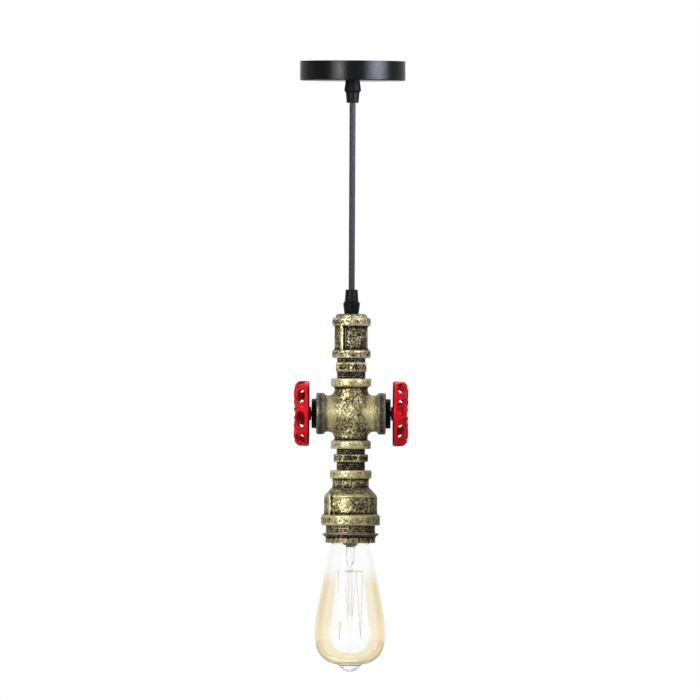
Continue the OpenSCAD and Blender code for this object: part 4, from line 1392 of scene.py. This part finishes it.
@dataclass
class Cross:
    """The four-way fitting, with a band on each arm and rounded webs between the arms."""

    arm_radius: float = 15.7
    band_radius: float = 19.05
    side_radius: float = 17.15
    side_band_radius: float = 19.7
    band_height: float = 7.6
    blend: float = 6.5
    web_rounds: int = 3
    slope: float = 1.6
    chamfer: float = 0.9
    voxel: float = 0.5
    least_tarnish: float = -0.24

    def run(self, radius: float, band_r: float, reach: float) -> Shape:
        """Make one straight run with its two bands, along Z.

        Args:
            radius: Radius between the bands.
            band_r: Radius of the bands.
            reach: Half of its length.

        Returns:
            The run.
        """
        neck = reach - self.band_height
        outline = [(WATERWAY, -reach), (WATERWAY, reach), *band(band_r, reach, neck, self.chamfer)]
        outline += [(radius + 0.9, neck - 0.4), (radius, neck - self.slope)]
        outline += [(radius, self.slope - neck), (radius + 0.9, 0.4 - neck)]
        outline += band(band_r, -neck, -reach, self.chamfer)
        return lathe(outline)

    def build(self) -> None:
        """Make the cross."""
        room = Extent.of("cross")
        reach_z, reach_x = room.half_height, room.radius
        neck_z, neck_x = reach_z - self.band_height, reach_x - self.band_height
        sideways = moved(self.run(self.side_radius, self.side_band_radius, reach_x), turn(90, "Y"))

        def web(place: Vector) -> Vector:
            """Fill the corner between two arms with a soft web.

            Args:
                place: The point, in millimetres.

            Returns:
                Its place on the web.
            """
            for _ in range(self.web_rounds):
                to_arm = off_axis(place) - self.arm_radius
                to_side = math.hypot(place.y, place.z) - self.side_radius
                if min(to_arm, to_side) < -1.5 or max(to_arm, to_side) > self.blend:
                    return place
                if abs(place.z) > neck_z - 1 or abs(place.x) > neck_x - 1:
                    return place
                share = held(0.5 + 0.5 * (to_side - to_arm) / self.blend)
                depth = to_side * (1 - share) + to_arm * share - self.blend * share * (1 - share)
                out_arm = Vector((place.x, place.y, 0)).normalized()
                out_side = Vector((0, place.y, place.z)).normalized()
                slope = out_side * (1 - share) + out_arm * share
                if slope.length < 0.2 or off_axis(place) < WATERWAY + 0.8:
                    return place
                place = place - slope * (depth / slope.length_squared)
            return place

        def relief(place: Vector) -> float:
            """Lump the middle of the front and back as a worn casting mark."""
            near = 1 - math.hypot(place.x * 1.2, place.z) / 9
            return 0.5 * noise.noise(place * 0.55) * max(near, 0) if abs(place.y) > 10 else 0.0

        def worn(place: Vector) -> float:
            """How smooth the surface is rubbed: most on the side arms."""
            return held((abs(place.x) - 9 - abs(place.z) * 0.25) / 5)

        def tarnished(place: Vector) -> float:
            """How grey the surface is: the bands of the side arms; below 0 where more brass shows."""
            return min(max(abs(place.x) - (neck_x - 0.5), self.least_tarnish), 1)

        parts = [self.run(self.arm_radius, self.band_radius, reach_z), sideways]
        casting = Casting(parts, "cross_casting", self.voxel)
        casting.shaped(web).ease(3).roughened(0.22, 0.12, seed=7, relief=relief)
        casting.painted(POLISH, worn).painted(TARNISH_AND_SHADE, tarnished).placed(shift(0, 0, room.middle))
        casting.show("antique_brass", "cross", fine=(45, 0.45))


@dataclass
class Reducer:
    """The bell reducer that carries the lampholder, with ribs, rough panels and two bands."""

    band_radius: float = 19.7
    band_height: float = 7.7
    neck_radius: float = 17.2
    neck_height: float = 8.5
    shoulder_height: float = 7.9
    corner_radius: float = 5.0
    body_radius: float = 25.1
    body_height: float = 18.2
    wall: float = 3.4
    chamfer: float = 0.9
    rim_chamfer: float = 1.0
    panel_sink: float = 0.6
    panel_edge: float = 0.7
    rib_width: float = 4.3
    rib_depth: float = 4.0
    rib_rise: float = 1.8
    rib_angle: float = -51.0
    voxel: float = 0.5
    tarnish: float = -0.24
    panels: ClassVar[Sequence[Pair]] = ((-40.0, 90.0), (-180.0, -140.0), (138.0, 180.0))

    def build(self) -> None:
        """Make the reducer."""
        room = Extent.of("reducer")
        neck_top = room.top - self.band_height
        shoulder = neck_top - self.neck_height
        body_top = shoulder - self.shoulder_height
        rim_top = body_top - self.body_height
        bell_r = self.body_radius - self.wall
        outline = [(bell_r + 1, room.foot), (bell_r + 1, rim_top), (bell_r, body_top - 3)]
        outline += [(bell_r - 3.5, body_top + 1.0), (WATERWAY, shoulder - 1.0), (WATERWAY, room.top)]
        outline += band(self.band_radius, room.top, neck_top, self.chamfer)
        outline += [(self.neck_radius + 0.6, neck_top - 0.2), (self.neck_radius, neck_top - 1.1)]
        outline += [(self.neck_radius, shoulder + 1.0), (self.neck_radius + 0.4, shoulder - 0.2)]
        slope = math.atan2(self.body_radius - self.neck_radius, self.shoulder_height)
        corner_r, corner_z = self.corner_radius, body_top - self.corner_radius * math.tan(slope / 2)
        for a in (slope * (1 - i / 5) for i in range(6)):
            corner = (self.body_radius - corner_r * (1 - math.cos(a)), corner_z + corner_r * math.sin(a))
            outline.append(corner)
        outline += [(self.body_radius, rim_top + 1.2), (self.body_radius + 0.9, rim_top + 0.2)]
        outline += band(room.radius, rim_top, room.foot, self.rim_chamfer)
        size = (self.rib_width, self.rib_depth, body_top - room.foot)
        reach = self.body_radius + self.rib_rise
        ribs = [upright(size, 0.6, reach, room.foot + 1, self.rib_angle + half) for half in (0, 180)]

        def relief(place: Vector) -> float:
            """Sink the panels of the body, and lump the surface on both sides of the front.

            Args:
                place: The point, in millimetres.

            Returns:
                The height to add.
            """
            if not rim_top < place.z < body_top or off_axis(place) < self.body_radius - 1.5:
                return 0.0
            heights = (rim_top + 1.0, body_top - 1.0)
            height = sunk(place, self.panels, heights, self.panel_sink, self.panel_edge)
            lumps = max(0, 1 - abs(abs(bearing(place)) - 42) / 30) * 0.55 * noise.noise(place * 0.42)
            return height * (1 - 0.35 * noise.noise(place * 1.1)) + lumps

        def worn(place: Vector) -> float:
            """How smooth the surface is rubbed: the left half of the front panel, which is also painted
            lighter there as a painted highlight.
            """
            return 0.7 * held(1 - abs(bearing(place) + 20) / 30) if rim_top < place.z < body_top else 0.0

        casting = Casting([lathe(outline, 160), *ribs], "reducer_casting", self.voxel)
        casting.roughened(0.22, 0.13, seed=11, relief=relief)
        # The polish on the front-left panel is partly wear and partly a painted highlight.
        casting.painted(POLISH, worn).painted(TARNISH_AND_SHADE, self.tarnish)
        casting.show("antique_brass", "reducer", fine=(50, 0.5))


@dataclass
class Handwheel:
    """A cast handwheel: skirt, domed shoulder with framed windows, ribs, dished face and hub."""

    side: Side
    skirt: float = 5.4
    wall: float = 2.6
    face_radius: float = 19.8
    face_height: float = 13.3
    dish: float = 1.8
    hub_radius: float = 6.9
    bore_radius: float = 3.05
    hub_lead: float = 1.6
    hub_face: float = 11.5
    rib_count: int = 8
    first_rib: float = 12.0
    rib_width: float = 3.0
    rib_rise: float = 1.7
    window: Pair = (8.3, 4.3)
    window_rise: float = 27.0
    frame_gap: float = 1.1
    frame_tube: float = 1.0
    voxel: float = 0.4
    shaded_edge_height: float = 1.4
    shaded_edge_share: float = 0.7

    def dome(self, radius: float, skirt: float, face: float, face_radius: float) -> Corners:
        """Corners of the shoulder's arc from the skirt to the face.

        Args:
            radius: Radius at the skirt.
            skirt: Height where the arc leaves the skirt.
            face: Height where it meets the face.
            face_radius: Radius of the face.

        Returns:
            The corners.
        """
        across, upward = radius - face_radius, face - skirt
        angles = [math.radians(90 * i / 10) for i in range(11)]
        return [(face_radius + across * math.cos(a), skirt + upward * math.sin(a)) for a in angles]

    def shell(self, radius: float) -> Shape:
        """Make the plain wheel without windows, its skirt's edge at Z = 0.

        Args:
            radius: Largest radius of the wheel.

        Returns:
            The wheel.
        """
        inner_r, inner_face = radius - self.wall, self.face_height - self.wall
        inner_dome = self.dome(inner_r, self.skirt - 1, inner_face, self.face_radius - self.wall / 2)
        outline = [(self.bore_radius, -self.hub_lead), (self.hub_radius - 0.5, -self.hub_lead)]
        outline += [(self.hub_radius, 0.5), (self.hub_radius + 1.2, inner_face - self.dish)]
        outline += [*reversed(inner_dome), (inner_r + 0.4, 0), (radius - 1.7, 0)]
        outline += [(radius - 0.8, 0.5), (radius - 0.2, 1.3), (radius, 2.1)]
        outline += self.dome(radius, self.skirt, self.face_height, self.face_radius)
        outline += [(self.hub_radius + 2.5, self.face_height - self.dish), (self.hub_radius, self.hub_face)]
        outline += [(self.bore_radius, self.hub_face)]
        return lathe(outline, 192)

    def rib(self, radius: float) -> Shape:
        """Make one rib that runs from the hub over the shoulder to the skirt, along +X.

        Args:
            radius: Largest radius of the wheel.

        Returns:
            The rib.
        """
        bm = bmesh.new()
        half = self.rib_width / 2
        crest = self.face_height + self.rib_rise - half
        line = [(self.hub_radius + 1, self.face_height - self.dish)]
        line += [(self.face_radius * 0.6, self.face_height - 0.6), (self.face_radius, crest)]
        line += self.dome(radius - 1.7, self.skirt, crest, self.face_radius + 1.0)[-2:0:-1]
        line += [(radius - 1.8, self.skirt - 1.0), (radius - 2.0, self.skirt * 0.6)]
        stations = [Vector((r * MM, 0, z * MM)) for r, z in line]
        last = len(stations) - 1
        rings = []
        for i, station in enumerate(stations):
            ahead = (stations[min(i + 1, last)] - stations[max(i - 1, 0)]).normalized()
            out = Vector((0, 1, 0)).cross(ahead).normalized()
            if out.z < 0 and out.x < 0:
                out.negate()
            ring_r = half * (0.75 if i in (0, last) else 1.0) * MM
            ring = bmesh.ops.create_circle(bm, segments=12, radius=ring_r)["verts"]
            stand = Matrix((out, Vector((0, 1, 0)), ahead)).transposed().to_4x4()
            bmesh.ops.transform(bm, matrix=Matrix.Translation(station) @ stand, verts=ring)
            rings.append(ring)
        for pair in zip(rings, rings[1:]):
            loops = {
                e for ring in pair for v in ring for e in v.link_edges
                if e.verts[0] in ring and e.verts[1] in ring
            }
            bmesh.ops.bridge_loops(bm, edges=list(loops))
        bmesh.ops.holes_fill(bm, edges=bm.edges[:], sides=12)
        bmesh.ops.recalc_face_normals(bm, faces=bm.faces)
        return bm

    def openings(self, radius: float) -> tuple[list[Shape], list[Shape]]:
        """Make what cuts the windows out, and the frames and ribs that are added.

        Args:
            radius: Largest radius of the wheel.

        Returns:
            The cutters, and the frames and ribs.
        """
        across, upward = radius - self.face_radius, self.face_height - self.skirt
        rise = math.radians(self.window_rise)
        seat_r = self.face_radius + across * math.cos(rise)
        seat_h = self.skirt + upward * math.sin(rise)
        lean = math.degrees(math.atan2(math.sin(rise) / upward, math.cos(rise) / across))
        tilt = turn(90 - lean, "Y")
        frame_size = (self.window[1] + self.frame_gap, self.window[0] + self.frame_gap)
        cutters, extras = [], []
        for i in range(self.rib_count):
            rib_turn, window_turn = (turn((i + half) * 360 / self.rib_count, "Z") for half in (0, 0.5))
            hole = rod(32, 1, 14)
            bmesh.ops.scale(hole, vec=(self.window[1], self.window[0], 1), verts=hole.verts)
            cutters.append(moved(hole, tilt, shift(seat_r, 0, seat_h), window_turn))
            rim = hoop(frame_size, self.frame_tube)
            extras.append(moved(rim, tilt, window_turn @ shift(seat_r - 0.4, 0, seat_h - 0.1)))
            extras.append(moved(self.rib(radius), rib_turn))
        for vertex in [v for extra in extras for v in extra.verts]:
            reach = off_axis(vertex.co) / (radius - 0.1) / MM
            if reach > 1:
                vertex.co.x, vertex.co.y = vertex.co.x / reach, vertex.co.y / reach
        return cutters, extras

    def build(self) -> None:
        """Make the handwheel and put it on its stem."""
        node, outward = f"handwheel_{self.side.word}", self.side.value
        room = Extent.of(node)
        radius = room.half_height
        skirt_x = min(abs(room.low.x), abs(room.high.x)) + self.hub_lead
        cutters, extras = self.openings(radius)
        shell = bmesh.new()
        shell.from_mesh(cut(gathered([self.shell(radius)], "wheel"), cutters))

        def edge(place: Vector) -> float:
            """Mark the skirt's edge for painted shade: the enamel is darker there as if in shadow."""
            return float(place.z < self.shaded_edge_height and off_axis(place) > self.shaded_edge_share * radius)

        # The skirt's edge is marked for painted shade in the enamel.
        casting = Casting([shell, *extras], f"{node}_casting", self.voxel, easing=3)
        casting.roughened(0.12, 0.05, seed=20 + outward).painted(TARNISH_AND_SHADE, edge).placed(
            turn(self.first_rib, "Z"), shift(skirt_x * outward, 0, room.middle) @ turn(90 * outward, "Y"),
        )
        casting.show(
            "wheel_red", node, fine=(45, 0.6), fine_share=0.4, broad=(150, 1.4),
            body=f"wheel_{self.side.word}",
        )


@dataclass
class HolderCollar:
    """The threaded collar under the reducer, with its key."""

    radius: float = 23.7
    inner: float = 19.25
    end_radius: float = 21.4
    thread_depth: float = 0.9
    key_size: Triple = (3.2, 2.2, 6.6)
    key_x: float = -0.8
    voxel: float = 0.4
    key_voxel: float = 0.25
    tarnish: float = -0.12
    land: ClassVar[Pair] = (0.4, 0.62)

    def build(self) -> None:
        """Make the collar and its key."""
        room = Extent.of("holder_collar")
        end_top = Extent.of("shade_ring").top
        outline = [(self.inner, room.foot), (self.inner, room.top)]
        outline += thread(self.radius - self.thread_depth, self.radius - 0.1, room.top, end_top, self.land)
        outline += [(self.end_radius, end_top), (self.end_radius, room.foot)]
        casting = Casting([lathe(outline, 160)], "collar_casting", self.voxel, easing=1)
        casting.roughened(0.12, 0.12, seed=13).painted(TARNISH_AND_SHADE, self.tarnish)
        casting.show("thread_dark", "holder_collar", fine=(30, 0.4), fine_share=0.8)
        key_place = shift(self.key_x, 0.7 - self.radius, end_top + self.key_size[2] / 2 + 0.3)
        key = Casting([moved(block(self.key_size, 0.4), key_place)], "collar_key", self.key_voxel)
        key.roughened(0.1, 0.12, seed=14)
        key.show("antique_brass", "holder_collar", fine=(12, 0.25), fine_share=0.8)


@dataclass
class ShadeRing:
    """The ring that holds a shade: a thin flange with a sloping underside, and a skirt of teeth."""

    skirt_radius: float = 23.6
    root_radius: float = 22.6
    inner: float = 21.5
    flange_height: float = 3.3
    teeth: int = 28
    tooth_share: float = 0.56
    tooth_depth: float = 2.2
    steps: int = 168
    voxel: float = 0.38
    slot_voxel: float = 0.3

    def build(self) -> None:
        """Make the floor of the slots, polished and painted lighter as a painted highlight between the teeth,
        then the ring with its teeth.
        """
        room = Extent.of("shade_ring")
        flange_r, skirt_top = room.radius, room.top - self.flange_height
        floor = [(self.inner + 0.2, room.foot + 0.2), (self.root_radius, room.foot + 0.2)]
        floor += [(self.root_radius, skirt_top - 1.0), (self.inner + 0.2, skirt_top - 1.0)]
        slots = Casting([lathe(floor, self.steps)], "ring_slots", self.slot_voxel, easing=1)
        # Polish lightens the slot floors: polished brass, and a painted highlight between the dark teeth.
        slots.roughened(0.1, 0.12, seed=18).painted(POLISH, 1.0)
        slots.show("antique_brass", "shade_ring", fine=(12, 0.25), fine_share=0.8)
        outline = [(self.inner, room.foot), (self.inner, room.top), (flange_r - 0.6, room.top)]
        outline += [(flange_r, room.top - 0.4), (flange_r - 0.2, room.top - 0.9)]
        outline += [(self.skirt_radius + 0.6, skirt_top), (self.root_radius, skirt_top - 0.2)]
        outline += [(self.root_radius, skirt_top - 1.4), (self.inner + 0.4, skirt_top - 1.4)]
        outline += [(self.inner + 0.4, room.foot)]
        spacing = FULL_TURN * self.skirt_radius / self.teeth
        size = (spacing * self.tooth_share, self.tooth_depth, skirt_top - room.foot + 0.2)
        angles = [360 * (i + 0.5) / self.teeth for i in range(self.teeth)]
        teeth = [upright(size, 0.35, self.skirt_radius, room.foot + 0.1, angle) for angle in angles]
        casting = Casting([lathe(outline, self.steps), *teeth], "shade_ring_casting", self.voxel, easing=1)
        casting.roughened(0.08, 0.08, seed=17)
        casting.show("thread_dark", "shade_ring", fine=(30, 0.4), fine_share=0.8)


@dataclass
class Bulb:
    """The pear-shaped bulb's glass, blown with a sealed pip at its end."""

    wall: float = 0.9
    steps: int = 160
    pip_height: float = 6.4
    pip_radius: float = 10.6
    glass_shares: ClassVar[Corners] = [
        (0.413, 0), (0.470, 0.012), (0.518, 0.034), (0.550, 0.070), (0.635, 0.165), (0.722, 0.269),
        (0.800, 0.385), (0.865, 0.480), (0.930, 0.570), (0.978, 0.660), (1.000, 0.762), (0.985, 0.825),
        (0.930, 0.878), (0.830, 0.925), (0.700, 0.958), (0.540, 0.982), (0.350, 0.995),
    ]
    pip_shares: ClassVar[Corners] = [(0.74, 0.44), (0.5, 0.74), (0.24, 0.94)]

    def outline(self, radius: float, top: float, foot: float) -> Corners:
        """Outer corners of the glass, on a smooth curve through the shares.

        Args:
            radius: Largest radius.
            top: Height of the open end.
            foot: Height of the pip's end.

        Returns:
            The corners from the open end to the axis.
        """
        height = top - foot - self.pip_height
        pip_top = top - height
        knots = [(radius * r, top - height * h) for r, h in self.glass_shares]
        knots += [(self.pip_radius + 0.6, pip_top + 0.1), (self.pip_radius - 0.6, pip_top - 0.7)]
        knots += [(self.pip_radius * r, pip_top - self.pip_height * h) for r, h in self.pip_shares]
        points = [Vector((r, 0, z)) for r, z in [*knots, (0, foot)]]
        smooth = []
        for i, (start, end) in enumerate(zip(points, points[1:])):
            before, after = points[max(i - 1, 0)], points[min(i + 2, len(points) - 1)]
            for t in (0, 1 / 3, 2 / 3):
                smooth.append(0.5 * (
                    2 * start + (end - before) * t
                    + (2 * before - 5 * start + 4 * end - after) * t * t
                    + (3 * start - before - 3 * end + after) * t * t * t
                ))
        smooth.append(points[-1])
        return [(max(p.x, 0), p.z) for p in smooth]

    def build(self) -> None:
        """Make the glass."""
        room = Extent.of("bulb_glass")
        outer = self.outline(room.radius, room.top, room.foot)
        inner = []
        for i, (r, z) in enumerate(outer[:-1]):
            ahead = Vector(outer[i + 1]) - Vector(outer[max(i - 1, 0)])
            inward = Vector((ahead.y, -ahead.x)).normalized()
            inner.append((max(r + inward.x * self.wall, 0), z + inward.y * self.wall))
        inner = [(r, z) for r, z in inner if r > 0.4]
        inner.append((0, inner[-1][1] - 0.05))
        glass = lathe([*reversed(inner), *outer], self.steps, closed=False)
        add_piece("blown_glass", gathered([glass], "blown_glass"), "bulb", "bulb_glass", "bulb_glass")


def main() -> None:
    """Build the scene."""
    logging.basicConfig(level=logging.INFO, format="%(message)s", stream=sys.stdout)
    studio = Studio()
    studio.camera()
    HangingCord().build()
    TopPlug().build()
    Coupling().build()
    Nipple("upper_nipple", hex_over=-285.5, hex_height=8.9, hex_turn=0.0, hex_sink=0.15).build()
    Cross().build()
    Nipple("lower_nipple", hex_over=-372.6, hex_height=7.2, hex_turn=30.0, hex_sink=0.5).build()
    Reducer().build()
    HolderCollar().build()
    ShadeRing().build()
    for side in Side:
        Handwheel(side).build()
    Bulb().build()
    dress_cad_nodes()
    studio.build()


if __name__ == "__main__":
    main()
